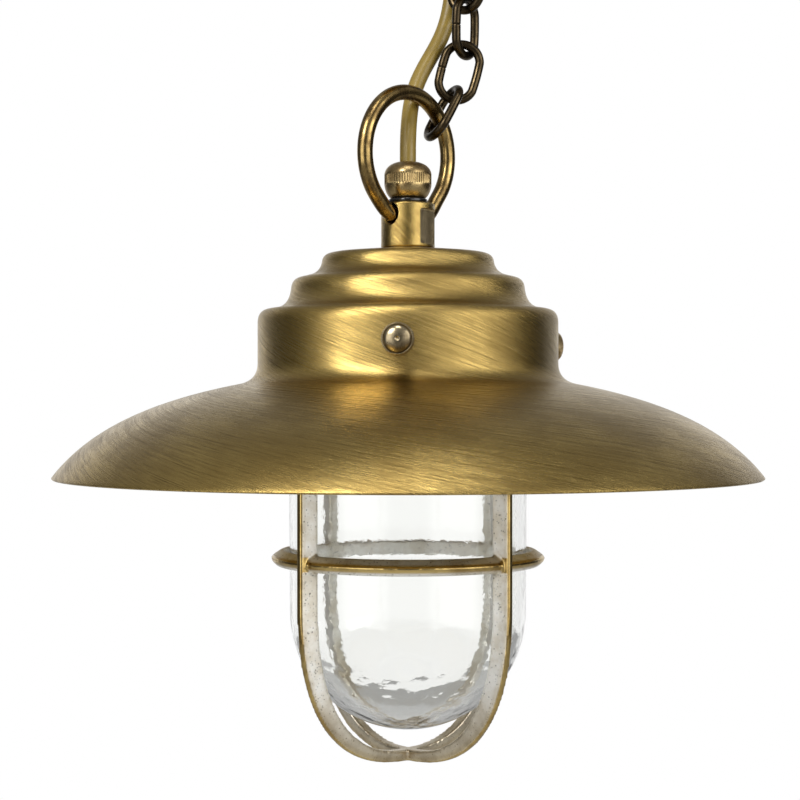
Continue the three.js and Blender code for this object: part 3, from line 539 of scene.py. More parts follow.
def relief(tree, shader, height, strength, distance):
    bump = {"Height": height, "Strength": strength, "Distance": distance}
    plug(tree, shader.inputs["Normal"], add(tree, "ShaderNodeBump", bump).outputs["Normal"])


BRASS_LIGHT = (0.66, 0.475, 0.16)
BRASS_MID = (0.23, 0.15, 0.043)
BRASS_DARK = (0.055, 0.034, 0.011)


def aged_brass(name, centre, slant=0.36, fineness=140.0, tarnish_size=26.0, gloss=0.22):
    """Brass with a brown patina, brushed by hand so that the brass shows through in fine lines."""
    material, tree, shader, own = finish(name)
    vector = about(tree, own, centre)
    lines = use(tree, BRUSHING, Vector=vector, Slant=slant, Fineness=fineness)
    crossed = use(tree, BRUSHING, Vector=vector, Slant=slant * 1.7, Fineness=fineness * 1.7)
    aged = use(tree, PATINA, Vector=vector, Size=tarnish_size, Spread=0.5)
    worn = maths(tree, "MULTIPLY", crossed["Lines"], 0.3)
    worn = maths(tree, "ADD", worn, maths(tree, "MULTIPLY", lines["Lines"], 0.5))
    worn = maths(tree, "ADD", worn, maths(tree, "MULTIPLY", lines["Broad Lines"], 0.3))
    base = tint(tree, worn, BRASS_MID, BRASS_LIGHT)
    dulled = maths(tree, "MULTIPLY", aged["Tarnish"], 0.55)
    base = tint(tree, dulled, base, BRASS_MID)
    gaps = remap(tree, lines["Lines"], 0.3, 0.0)
    base = tint(tree, maths(tree, "MULTIPLY", gaps, 0.55), base, BRASS_DARK)
    plug(tree, shader.inputs["Base Color"], base)
    shader.inputs["Metallic"].default_value = 1
    rough = remap(tree, worn, 0.0, 1.1, gloss + 0.1, gloss - 0.04)
    rough = maths(tree, "ADD", rough, maths(tree, "MULTIPLY", aged["Tarnish"], 0.06))
    plug(tree, shader.inputs["Roughness"], rough)
    scratches = maths(tree, "ADD", lines["Lines"], maths(tree, "MULTIPLY", crossed["Lines"], 0.5))
    relief(tree, shader, scratches, 0.4, 0.00007)
    return material


def worn_brass(name, light, dark, gloss, wear):
    """Patinated brass rubbed bright where hands and other pieces touch it."""
    material, tree, shader, own = finish(name)
    aged = use(tree, PATINA, Vector=own, Size=95.0, Spread=wear)
    edges = add(tree, "ShaderNodeNewGeometry").outputs["Pointiness"]
    rubbed = remap(tree, edges, 0.5, 0.56)
    drawn = add(tree, "ShaderNodeMapping", {"Vector": own, "Scale": (1.0, 1.0, 0.16)})
    scuffs = speckle(tree, drawn, 1500.0, 3.0)
    scuffed = remap(tree, scuffs, 0.42, 0.66)
    base = tint(tree, aged["Tarnish"], light, dark)
    base = tint(tree, maths(tree, "MULTIPLY", scuffed, 0.3), base, light)
    base = tint(tree, maths(tree, "MULTIPLY", rubbed, 0.5), base, light)
    plug(tree, shader.inputs["Base Color"], base)
    shader.inputs["Metallic"].default_value = 1
    plug(tree, shader.inputs["Roughness"], remap(tree, aged["Tarnish"], 0.0, 1.0, gloss, gloss + 0.12))
    raised = maths(tree, "ADD", scuffs, maths(tree, "MULTIPLY", aged["Specks"], 0.6))
    relief(tree, shader, raised, 0.3, 0.00005)
    return material


def cast_brass():
    """Cast brass with a pale grey-silver skin, partly its pitted cast skin and partly painted reflection of the
    bright studio, and golden metal where the edges were ground and polished.
    """
    material, tree, shader, own = finish("cast_brass")
    skin = use(tree, CASTING, Vector=own, Grain=820.0)
    aged = use(tree, PATINA, Vector=own, Size=70.0, Spread=0.5)
    polish = add(tree, "ShaderNodeAttribute", attribute_name="polish").outputs["Fac"]
    # The near-white grey-silver is painted reflection: it stands in for the bright studio mirrored in the arms'
    # sides, laid over their pitted cast skin.
    skin_and_painted_sheen = tint(tree, aged["Tarnish"], (1.0, 0.98, 0.92), (0.78, 0.72, 0.60))
    skin_and_painted_sheen = tint(tree, maths(tree, "MULTIPLY", skin["Pits"], 0.85), skin_and_painted_sheen, (0.06, 0.045, 0.03))
    ground = tint(tree, aged["Tarnish"], (0.60, 0.44, 0.17), (0.34, 0.23, 0.08))
    plug(tree, shader.inputs["Base Color"], tint(tree, polish, skin_and_painted_sheen, ground))
    shader.inputs["Metallic"].default_value = 1
    plug(tree, shader.inputs["Roughness"], remap(tree, polish, 0.0, 1.0, 0.46, 0.24))
    bare = maths(tree, "MULTIPLY", skin["Height"], remap(tree, polish, 0.0, 1.0, 1.0, 0.12))
    relief(tree, shader, bare, 0.5, 0.00025)
    return material


def turned_metal(name, light, dark, gloss, centre):
    """Bright metal with the fine rings that a lathe leaves."""
    material, tree, shader, own = finish(name)
    vector = about(tree, own, centre)
    lines = use(tree, BRUSHING, Vector=vector, Slant=0.05, Fineness=140.0)
    aged = use(tree, PATINA, Vector=vector, Size=120.0, Spread=0.56)
    base = tint(tree, maths(tree, "MULTIPLY", lines["Lines"], 0.6), dark, light)
    base = tint(tree, maths(tree, "MULTIPLY", aged["Tarnish"], 0.5), base, dark)
    plug(tree, shader.inputs["Base Color"], base)
    shader.inputs["Metallic"].default_value = 1
    plug(tree, shader.inputs["Roughness"], remap(tree, lines["Lines"], 0.0, 1.0, gloss + 0.08, gloss))
    relief(tree, shader, lines["Lines"], 0.25, 0.00003)
    return material


def clear_glass():
    """Thick pressed glass with a faint grey-green cast."""
    material, tree, shader, own = finish("clear_glass")
    waves = speckle(tree, own, 55.0, 2.0, 0.5)
    shader.inputs["Base Color"].default_value = (0.985, 0.99, 0.975, 1)
    shader.inputs["Transmission Weight"].default_value = 1
    shader.inputs["IOR"].default_value = 1.5
    plug(tree, shader.inputs["Roughness"], remap(tree, waves, 0.3, 0.7, 0.0, 0.015))
    pebbles = speckle(tree, own, 330.0, 3.0, 0.5)
    relief(tree, shader, maths(tree, "ADD", waves, maths(tree, "MULTIPLY", pebbles, 0.5)), 0.2, 0.0004)
    return material


def moulded(name, colour, shade, gloss, grain=2600.0, depth=0.00003, coat=0.0):
    """A moulded or glazed surface: slight mottling and a fine skin."""
    material, tree, shader, own = finish(name)
    mottled = speckle(tree, own, 180.0, 4.0)
    skin = speckle(tree, own, grain, 2.0)
    base = tint(tree, remap(tree, mottled, 0.35, 0.65), colour, shade)
    plug(tree, shader.inputs["Base Color"], base)
    plug(tree, shader.inputs["Roughness"], remap(tree, mottled, 0.3, 0.7, gloss, gloss + 0.12))
    shader.inputs["Coat Weight"].default_value = coat
    relief(tree, shader, skin, 0.35, depth)
    return material


SHADE_BRASS = aged_brass("shade_brass", LANTERN)
HANGER_BRASS = aged_brass("hanger_brass", LANTERN, slant=1.0, fineness=70.0, tarnish_size=90.0, gloss=0.12)
ROSE_BRASS = aged_brass("rose_brass", (0, 0, 0))
RING_BRASS = worn_brass("ring_brass", (0.46, 0.32, 0.12), (0.10, 0.062, 0.024), 0.16, wear=0.48)
CHAIN_BRASS = worn_brass("chain_brass", (0.115, 0.083, 0.042), (0.022, 0.016, 0.01), 0.18, wear=0.42)
CAST_BRASS = cast_brass()
BRIGHT_BRASS = turned_metal("bright_brass", (0.70, 0.55, 0.28), (0.42, 0.30, 0.12), 0.24, LANTERN)
SCREW_BRASS = worn_brass("screw_brass", (0.42, 0.34, 0.21), (0.12, 0.09, 0.05), 0.22, wear=0.5)
ZINC = turned_metal("zinc_steel", (0.62, 0.62, 0.60), (0.34, 0.34, 0.35), 0.34, LANTERN)
GLASS = clear_glass()
RUBBER = moulded("black_rubber", (0.018, 0.018, 0.018), (0.03, 0.029, 0.028), 0.32)
SEAL_RUBBER = moulded("seal_rubber", (0.006, 0.006, 0.006), (0.011, 0.01, 0.01), 0.16, coat=0.3)
PORCELAIN = moulded("porcelain", (0.82, 0.80, 0.74), (0.74, 0.71, 0.63), 0.22, depth=0.00001, coat=0.6)
SHEATH = moulded("cable_sheath", (0.27, 0.185, 0.036), (0.235, 0.16, 0.03), 0.3, grain=3200.0)
CORES = {
    "live": moulded("core_brown", (0.16, 0.07, 0.03), (0.12, 0.05, 0.02), 0.35),
    "earth": moulded("core_green", (0.16, 0.36, 0.06), (0.42, 0.48, 0.05), 0.35),
    "neutral": moulded("core_blue", (0.03, 0.14, 0.42), (0.02, 0.1, 0.33), 0.35),
}


# ---------------------------------------------------------------- cable

CABLE_ROUTE = [
    (0, 0, 0.102), (0, 0.0002, 0.107), (0, 0.0019, 0.114), (0.0003, 0.0049, 0.121), (0.0009, 0.0086, 0.128),
    (0.002, 0.0122, 0.135), (0.0042, 0.0154, 0.1425), (0.0078, 0.0183, 0.15), (0.0122, 0.0209, 0.1575),
    (0.0162, 0.0232, 0.1655), (0.0189, 0.0252, 0.1745), (0.0204, 0.027, 0.185), (0.021, 0.0284, 0.196),
]
CABLE_MEETING = 6             # the point of the route where the two halves meet
CABLE_EASING = 60             # passes that even out the route


def relaxed(path):
    """A path with its small waves evened out. Its ends stay."""
    for _ in range(CABLE_EASING):
        path = [path[0], *((a + b * 2 + c) / 4 for a, b, c in zip(path, path[1:], path[2:])), path[-1]]
    return path


def make_cable():
    """The free cable in two halves that meet by the chain."""
    bush_low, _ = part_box("rose_cord_bush")
    _, cable_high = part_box("supply_cable")
    mouth = Vector((middle("rose_cord_bush").x, middle("rose_cord_bush").y, bush_low.z))
    end = Vector((mouth.x, mouth.y, cable_high.z))
    route = [LANTERN + Vector(p) for p in CABLE_ROUTE] + [mouth, end]
    path = relaxed(smooth_path(route))
    meeting = CABLE_MEETING * 8
    for name, bodies, stretch in (
        ("lower_cable", ("lantern", "chain_and_ring"), path[:meeting + 1]),
        ("upper_cable", ("ceiling_rose", "chain_and_ring"), path[meeting:][::-1]),
    ):
        piece = wire(name, stretch, CABLE_DIAMETER / 2, SHEATH, sides=32)
        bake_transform(piece)
        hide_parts("supply_cable")


make_cable()


# ---------------------------------------------------------------- shade

def shade_outline():
    """The outer side of the shade, from the rim up to the hanger."""
    rim = (shade_high.x - LANTERN.x) / MM
    wall, base, top = 66.2, 15.5, 33.0
    peak = DOME_TOP
    ledge, step = peak - 12.8, peak - 2.1
    outer = [(rim, -BRIM_DROP)]
    outer += curved((rim, -BRIM_DROP), (rim - 16, -13), (rim - 43, -1), (wall + 7.8, 6.4), steps=40)
    outer += curved((wall + 7.8, 6.4), (wall, 8), (wall, base))
    outer += [(wall, base + 6), (wall, top - 4), (wall, top)]
    outer += curved((wall, top), (wall, top + 6.2), (wall - 5.5, top + 6.2), steps=14)
    outer += [(wall - 8, top + 6.7)]
    outer += curved((wall - 8, top + 6.7), (wall - 13.9, top + 7.8), (wall - 14.7, ledge - 4.7))
    outer += curved((wall - 14.7, ledge - 4.7), (wall - 15.1, ledge - 0.4), (wall - 19, ledge))
    outer += [(wall - 22.7, ledge + 1)]
    outer += curved((wall - 22.7, ledge + 1), (wall - 27.4, ledge + 2.4), (wall - 28.2, step - 3.9))
    outer += curved((wall - 28.2, step - 3.9), (wall - 28.6, step - 0.2), (wall - 32.5, step))
    outer += [(13, peak), (NIPPLE_HOLE, peak)]
    return outer


def make_shade():
    outer = shade_outline()
    inner = inner_side(outer, SHEET)
    outline = softened([*outer, *inner[::-1]], radius=0.5)
    shade = turned("spun_shade", outline, SHADE_BRASS, facets=192)
    cutters = []
    for number in (1, 2, 3):
        hole = [(0, 60), (SCREW_HOLE, 60), (SCREW_HOLE, 72), (0, 72)]
        lie = laid_at_screw(number)
        cutters.append(turned(f"hole_{number}", hole, SHADE_BRASS, place=lie, facets=24))
    placed(bored(shade, cutters), "lantern", "aged_brass", "shade")


make_shade()


# ---------------------------------------------------------------- cage

ARM_RADIUS = 62.6
ARM_DEPTH = 8.6
ARM_OUTER_HALF = 1.45         # half of the wedge's width at its outer edge
ARM_INNER_HALF = 2.7
POLE_THICKNESS = 5.1          # of the arms where they cross under the glass
ARM_BEND = -85.0              # level where the arms start to curve in
GUARD_LEVEL = -69.8
GUARD_RADIUS = 60.4
ARM_TURN = 43
BOW_FULLNESS = 2.45           # 2 would bend the arms along an ellipse
FLANGE_TOP = 28.0
FLANGE_BASE = 14.0
FLANGE_INNER = 55.8
FLANGE_RADIUS = 61.2
VOXEL = 0.0008


def bow_mesh(turn, drop):
    """Two opposite arms as one bow of wedge section, narrow outside and wide inside."""
    levels = [FLANGE_TOP - 1] + [ARM_BEND + 8.0 * k for k in range(12, 0, -1)]
    outer = [(ARM_RADIUS, h) for h in levels]
    inner = [(ARM_RADIUS - ARM_DEPTH, h) for h in levels]
    for k in range(73):
        swing = math.radians(180 * k / 72)
        across = math.copysign(abs(math.cos(swing)) ** (2 / BOW_FULLNESS), math.cos(swing))
        down = abs(math.sin(swing)) ** (2 / BOW_FULLNESS)
        outer.append((ARM_RADIUS * across, ARM_BEND - drop * down))
        inner.append(((ARM_RADIUS - ARM_DEPTH) * across, ARM_BEND - (drop - POLE_THICKNESS) * down))
    outer += [(-ARM_RADIUS, h) for h in reversed(levels)]
    inner += [(-ARM_RADIUS + ARM_DEPTH, h) for h in reversed(levels)]
    corners = []
    for (ro, ho), (ri, hi) in zip(outer, inner):
        corners += [(ro, ARM_OUTER_HALF, ho), (ro, -ARM_OUTER_HALF, ho)]
        corners += [(ri, -ARM_INNER_HALF, hi), (ri, ARM_INNER_HALF, hi)]
    faces = [(0, 1, 2, 3), tuple(len(corners) - k for k in (1, 2, 3, 4))]
    for s in range(len(outer) - 1):
        for c in range(4):
            a, b = s * 4 + c, s * 4 + (c + 1) % 4
            faces.append((b, a, a + 4, b + 4))
    mesh = bpy.data.meshes.new("bow")
    mesh.from_pydata(corners, [], faces)
    mesh.transform(AT_LANTERN @ Matrix.Rotation(math.radians(turn - 90), 4, "Z"))
    return mesh


def joined(name, pieces):
    """One mesh from several pieces, which are used up."""
    form = bmesh.new()
    for piece in pieces:
        mesh = piece.data if isinstance(piece, bpy.types.Object) else piece
        form.from_mesh(mesh)
        if isinstance(piece, bpy.types.Object):
            bpy.data.objects.remove(piece)
    mesh = bpy.data.meshes.new(name)
    form.to_mesh(mesh)
    form.free()
    return mesh


def mark_polish(mesh, drop):
    """Marks how near each point is to the ground outer edges of the arms and the guard ring."""
    points = np.array([v.co for v in mesh.vertices]) - np.array(LANTERN)
    reach = np.hypot(points[:, 0], points[:, 1]) / MM
    level = points[:, 2] / MM
    below = np.maximum(ARM_BEND - level, 0) / drop
    share = ((reach / ARM_RADIUS) ** BOW_FULLNESS + below ** BOW_FULLNESS) ** (1 / BOW_FULLNESS)
    depth = (1 - share) * ARM_RADIUS
    arms = np.clip((1.1 - depth) / 0.7, 0, 1)
    belt = np.clip((reach - GUARD_RADIUS + 1.8) / 0.9, 0, 1) * (np.abs(level - GUARD_LEVEL) < 3.2)
    foot = np.clip((-122 - level) / 60, 0, 0.5) + np.clip((2.6 - depth) / 5, 0, 0.2)
    arms = np.maximum(arms, foot)
    attribute = mesh.attributes.new("polish", "FLOAT", "POINT")
    attribute.data.foreach_set("value", np.maximum(arms, belt).astype(np.float32))


def make_cage():
    bottom, _ = span("cage_frame")
    drop = ARM_BEND - bottom
    inner, rim, level = ARM_RADIUS - ARM_DEPTH, GUARD_RADIUS, GUARD_LEVEL
    guard = softened([
        (inner, level - 3.3), (rim - 3.0, level - 3.5), (rim - 0.6, level - 1.4), (rim, level),
        (rim - 0.9, level + 1.0), (rim - 4.4, level + 3.4), (inner, level + 3.5),
    ], radius=0.6)
    flange = [(FLANGE_INNER, FLANGE_BASE), (FLANGE_RADIUS, FLANGE_BASE), (FLANGE_RADIUS, FLANGE_TOP),
              (FLANGE_INNER, FLANGE_TOP)]
    mesh = joined("cage", [
        bow_mesh(ARM_TURN, drop), bow_mesh(ARM_TURN - 90, drop),
        turned("guard", guard, CAST_BRASS), turned("flange", flange, CAST_BRASS),
    ])
    rough = settled("rough_cage", mesh)
    fused = rough.modifiers.new("fused", "REMESH")
    fused.mode = "VOXEL"
    fused.voxel_size = VOXEL
    eased = rough.modifiers.new("eased", "SMOOTH")
    eased.factor = 0.5
    eased.iterations = 2
    mesh = evaluated_mesh(rough)
    mark_polish(mesh, drop)
    mesh.materials.clear()
    mesh.materials.append(CAST_BRASS)
    cage = settled("cast_cage", mesh, sharp=75)
    placed(cage, "cage_and_glass", "cast_brass", "cage_frame")


make_cage()


# ---------------------------------------------------------------- glass and gasket

BOWL_LEVEL = -93.3
BOWL_RADIUS = 52.0
NECK_RADIUS = 52.9
GLASS_WALL = 4.4
LIP_REACH = 6.4               # of the glass's lip beyond its neck
LIP_HEIGHT = 4
GASKET_INNER = 56.1
GASKET_OUTER = 59.3
RIPPLE = 0.12                 # depth of the ripples inside the glass, at the bottom
RIPPLE_TOP = -62              # level where the ripples start to deepen


def arc(radius, level, start, end, steps):
    """Points of an arc about the axis's level. A point at the pole lies on the axis."""
    points = []
    for i in range(steps + 1):
        swing = start + (end - start) * i / steps
        reach = 0 if abs(swing) == 90 else radius * math.cos(math.radians(swing))
        points.append((reach, level + radius * math.sin(math.radians(swing))))
    return points


def make_glass():
    _, lip_top = span("glass_globe")
    lip_base = lip_top - LIP_HEIGHT
    inner = BOWL_RADIUS - GLASS_WALL
    neck = NECK_RADIUS - GLASS_WALL
    walls = 30
    inside = [(inner + (neck - inner) * k / walls, BOWL_LEVEL + (lip_top - BOWL_LEVEL) * k / walls)
              for k in range(1, walls)]
    lip = softened([(neck, lip_top), (NECK_RADIUS + LIP_REACH, lip_top), (NECK_RADIUS + LIP_REACH, lip_base),
                    (NECK_RADIUS, lip_base)], radius=0.9, closed=False)
    outline = [*arc(inner, BOWL_LEVEL, -90, 0, 64), *inside, *lip, *arc(BOWL_RADIUS, BOWL_LEVEL, 0, -90, 64)]
    globe = turned("pressed_globe", outline, GLASS, facets=160, sharp=70)
    for vertex in globe.data.vertices:
        place = (vertex.co - LANTERN) / MM
        reach = math.hypot(place.x, place.y)
        bowl = math.hypot(reach, min(place.z - BOWL_LEVEL, 0))
        if bowl > inner + 1.5 or place.z > lip_base - 6:
            continue
        depth = min(max((RIPPLE_TOP - place.z) / 60, 0.06), 1)
        turn = math.atan2(place.y, place.x)
        ripple = noise.noise(Vector((4 * math.cos(turn), 4 * math.sin(turn), place.z / 3.4)))
        ripple += 0.7 * noise.noise(Vector(place) / 3.2)
        inwards = Vector((place.x, place.y, min(place.z - BOWL_LEVEL, 0))).normalized()
        vertex.co -= inwards * (RIPPLE * depth * (ripple + 0.4)) * MM
    placed(globe, "cage_and_glass", "clear_glass", "glass_globe")
    low, high = span("glass_gasket")
    gasket = softened([(GASKET_INNER, low), (GASKET_OUTER, low), (GASKET_OUTER, high), (GASKET_INNER, high)],
                      radius=0.5)
    placed(turned("sealing_ring", gasket, RUBBER), "cage_and_glass", "black_rubber", "glass_gasket")


make_glass()


# ---------------------------------------------------------------- thumbscrews

SHANK = 2.5                   # radius
SCREW_NECK = 4                # radius
HEAD_RADIUS = 6.7
NECK_START = 66.5             # from the lantern's axis, as the next three are
HEAD_START = 69.1
HEAD_END = 76.1
CROWN_END = 77.9
KNURL_DEPTH = 0.5


def make_thumbscrew(number):
    """A thumbscrew with a diamond-knurled head and a domed face set in its rim."""
    face = HEAD_RADIUS - 0.95
    rows = [HEAD_START + 0.7 + 0.16 * k for k in range(int((HEAD_END - HEAD_START - 0.9) / 0.16))]
    outline = [(0, SCREW_REACH), (SHANK - 0.2, SCREW_REACH), (SHANK, SCREW_REACH + 0.3), (SHANK, NECK_START),
               (SCREW_NECK, NECK_START), (SCREW_NECK, HEAD_START), (HEAD_RADIUS - 0.8, HEAD_START),
               (HEAD_RADIUS - 0.3, HEAD_START + 0.2)]
    outline += [(HEAD_RADIUS, level) for level in rows]
    outline += [(HEAD_RADIUS - 0.25, HEAD_END), (HEAD_RADIUS - 0.55, HEAD_END + 0.05)]
    outline += [(face + 0.15, HEAD_END - 0.1), (face, HEAD_END - 0.35), (face - 0.15, HEAD_END - 0.1)]
    outline += curved((face - 0.15, HEAD_END - 0.1), (face * 0.8, HEAD_END + 1.35),
                      (2.2, CROWN_END - 0.05), (1.0, CROWN_END), steps=14)
    outline += [(0.75, CROWN_END - 0.12), (0.4, CROWN_END - 0.5), (0, CROWN_END - 0.6)]
    blank = turned(f"blank_{number}", outline, SCREW_BRASS, place=Matrix.Identity(4), facets=264)
    mesh = blank.data
    bpy.data.objects.remove(blank)
    lie = laid_at_screw(number)
    sizes = {"Ribs": 44, "Slant": 0.15, "Depth": KNURL_DEPTH, "Low": rows[0], "High": HEAD_END + 0.3,
             "Fade": 0.4, "Inner Radius": HEAD_RADIUS - 0.4}
    screw = shaped(f"knurled_screw_{number}", KNURL, mesh, sizes, SCREW_BRASS, place=lie, sharp=40)
    placed(screw, f"thumbscrew_{number}", "bright_brass", f"thumbscrew_{number}")


for screw_number in (1, 2, 3):
    make_thumbscrew(screw_number)


# ---------------------------------------------------------------- hanger, seal and gland nut

HANGER_FLAT = 9.7             # a spanner flat's distance from the axis
HANGER_FLAT_TURNS = (62, 242)  # degrees from the front
FLAT_MARGIN_LOW = 1.3
FLAT_MARGIN_TOP = 2.7
PIN_PLAY = 1


def make_hanger():
    base, top = span("hanger_body")
    outline = softened([(NIPPLE_HOLE, base), (HANGER_RADIUS, base), (HANGER_RADIUS, top), (NIPPLE_HOLE, top)],
                       radius=0.8, steps=5)
    body = turned("turned_hanger", outline, HANGER_BRASS, facets=128)
    _, turn = heading("hanger_swing")
    lie = laid(Vector(JOINTS["hanger_swing"]["pos_m"]), turn)
    hole = RING_WIRE / 2 + PIN_PLAY
    bore = [(0, -20), (hole + 3, -20), (hole + 0.9, -HANGER_RADIUS), (hole, -HANGER_RADIUS + 0.9)]
    bore += [(hole, HANGER_RADIUS - 0.9), (hole + 0.9, HANGER_RADIUS), (hole + 3, 20), (0, 20)]
    cutters = [turned("cross_bore", bore, HANGER_BRASS, place=lie, facets=48)]
    for side in HANGER_FLAT_TURNS:
        block = bpy.data.meshes.new("flat")
        form = bmesh.new()
        bmesh.ops.create_cube(form, size=1)
        low, high = base + FLAT_MARGIN_LOW, top - FLAT_MARGIN_TOP
        bmesh.ops.scale(form, vec=(8, 30, high - low), verts=form.verts)
        bmesh.ops.translate(form, vec=(HANGER_FLAT + 4, 0, (low + high) / 2), verts=form.verts)
        bmesh.ops.bevel(form, geom=form.edges, offset=0.9, segments=4, affect="EDGES", profile=0.5)
        form.to_mesh(block)
        form.free()
        place = AT_LANTERN @ Matrix.Rotation(math.radians(side - 90), 4, "Z")
        block.materials.append(HANGER_BRASS)
        cutters.append(settled(f"flat_{side}", block, place))
    placed(bored(body, cutters, sharp=28), "lantern", "aged_brass", "hanger_body")


GLAND_RADIUS = 10.4
SEAL_RADIUS = 8.6


def make_gland():
    low, high = span("gland_seal")
    seal = softened([(NIPPLE_HOLE, low), (SEAL_RADIUS, low), (SEAL_RADIUS, high), (NIPPLE_HOLE, high)],
                    radius=0.8, steps=6)
    placed(turned("rubber_seal", seal, SEAL_RUBBER), "lantern", "black_rubber", "gland_seal")
    low, high = span("gland_nut")
    tall = high - low
    rim = GLAND_RADIUS
    band_low, band_high = low + tall * 0.36, low + tall * 0.68
    outline = [(NIPPLE_HOLE, low), (7.6, low)]
    outline += curved((7.6, low), (9.0, low + 1.1), (rim - 0.35, low + tall * 0.2), (rim, band_low), steps=16)
    outline += [(rim, band_low + (band_high - band_low) * k / 24) for k in range(1, 25)]
    outline += curved((rim, band_high), (rim - 0.5, low + tall * 0.86), (7.6, high - 0.7), (4.8, high),
                      steps=18)
    outline += [(CABLE_HOLE + 0.4, high), (CABLE_HOLE, high - 0.4), (CABLE_HOLE, low + tall * 0.47),
                (NIPPLE_HOLE, low + tall * 0.47)]
    blank = turned("gland_blank", outline, GLAND_BRASS, place=Matrix.Identity(4), facets=336)
    mesh = blank.data
    bpy.data.objects.remove(blank)
    sizes = {"Ribs": 56, "Slant": 0.0, "Depth": 0.3, "Low": band_low, "High": band_high, "Fade": 0.9,
             "Inner Radius": rim - 1}
    nut = shaped("knurled_gland", KNURL, mesh, sizes, GLAND_BRASS, place=AT_LANTERN, sharp=45)
    placed(nut, "gland_nut", "aged_brass", "gland_nut")


GLAND_BRASS = worn_brass("gland_brass", (0.50, 0.37, 0.17), (0.20, 0.13, 0.055), 0.26, wear=0.5)
make_hanger()
make_gland()


# ---------------------------------------------------------------- hanging ring and chain

RING_RADIUS = 27.3
RING_SHIFT = -1.4             # play of the ring in its holes
RING_RISE = 26.4              # ring centre above its pivot
RING_LEAN = 2                 # degrees


def make_ring():
    """A round bow whose two ends turn in to pivot in the hanger's cross hole."""
    along, _ = heading("hanger_swing")
    lean = math.radians(RING_LEAN)
    up = Vector((along.y * math.sin(lean), -along.x * math.sin(lean), math.cos(lean)))
    pivot = Vector(JOINTS["hanger_swing"]["pos_m"])
    pin_end = NIPPLE_HOLE + GAP

    def place(aside, rise):
        return pivot + along * aside * MM + up * rise * MM

    route = [place(-pin_end, 0), place(-HANGER_RADIUS, 0)]
    for turn in range(-135, 132, 14):
        swing = math.radians(turn)
        aside = RING_SHIFT + RING_RADIUS * math.sin(swing)
        route.append(place(aside, RING_RISE + RING_RADIUS * math.cos(swing)))
    route += [place(HANGER_RADIUS, 0), place(pin_end, 0)]
    ring = wire("hanging_bow", smooth_path(route, 6), RING_WIRE / 2 * MM, RING_BRASS, sides=40)
    placed(ring, "chain_and_ring", "aged_brass", "hanging_ring")


LINK_LAY = [
    ((0.42, 0.25, 0.84), (0.12, -0.9, -0.42)),
    ((0.26, 0.02, 0.96), (0.96, 0.1, -0.26)),
    ((0.02, 0, 1), (0.54, 0.84, 0)),
    ((0, 0, 1), (0.8, -0.6, 0)),
]


def make_chain():
    for number, (along, across) in enumerate(LINK_LAY, 1):
        up = Vector(along).normalized()
        wide = Vector(across)
        wide = (wide - up * wide.dot(up)).normalized()
        facing = wide.cross(up)
        lie = Matrix((wide, up, facing)).transposed().to_4x4()
        lie = Matrix.Translation(middle(f"chain_link_{number}")) @ lie
        sizes = {"Wire Radius": LINK_WIRE / 2 * MM, "Bend Radius": (LINK_WIDTH - LINK_WIRE) / 2 * MM,
                 "Leg": (LINK_LENGTH - LINK_WIDTH) / 2 * MM, "Seam": 0.14, "Steps": 180}
        empty = bpy.data.meshes.new("link")
        link = shaped(f"butted_link_{number}", LINK, empty, sizes, CHAIN_BRASS, place=lie, sharp=60)
        placed(link, "chain_and_ring", "dark_bronze", f"chain_link_{number}")


make_ring()
make_chain()


# ---------------------------------------------------------------- lampholder and nipple

THREAD_PITCH = 3.6
THREAD_DEPTH = 0.5


def make_screw_shell(low, high):
    """A pressed screw shell, its wall rolled into the lamp's thread."""
    radius, wall, eye = 13.6, 0.9, 3.6
    facets, rows = 96, 66
    outer, inner = [], []
    for row in range(rows + 1):
        height = low + (high - low - 1) * row / rows
        ease = min(row, rows - row, 6) / 6
        for facet in range(facets):
            turn = 2 * math.pi * facet / facets
            wave = math.sin(2 * math.pi * height / THREAD_PITCH - turn) * 0.5 - 0.5
            reach = radius + wave * THREAD_DEPTH * ease
            for ring, r in ((outer, reach), (inner, reach - wall)):
                ring.append((r * math.cos(turn), r * math.sin(turn), height))
    corners = outer + inner
    faces = []
    for row in range(rows):
        for facet in range(facets):
            a, b = row * facets + facet, row * facets + (facet + 1) % facets
            faces.append((a, b, b + facets, a + facets))
            faces.append(tuple(len(outer) + k for k in (b, a, a + facets, b + facets)))
    last, offset = rows * facets, len(outer)
    roof = []
    for r, h in ((radius - 0.6, high), (eye, high), (eye, high - wall), (radius - wall - 0.6, high - wall)):
        roof.append(len(corners))
        corners += [(r * math.cos(2 * math.pi * k / facets), r * math.sin(2 * math.pi * k / facets), h)
                    for k in range(facets)]
    rings = [last, *roof, last + offset]
    for facet in range(facets):
        on = (facet + 1) % facets
        faces.append((offset + facet, offset + on, on, facet))
        for first, second in zip(rings, rings[1:]):
            faces.append((first + facet, first + on, second + on, second + facet))
    mesh = bpy.data.meshes.new("screw_shell")
    mesh.from_pydata(corners, [], faces)
    mesh.materials.append(ZINC)
    return settled("threaded_shell", mesh, AT_LANTERN, sharp=50)


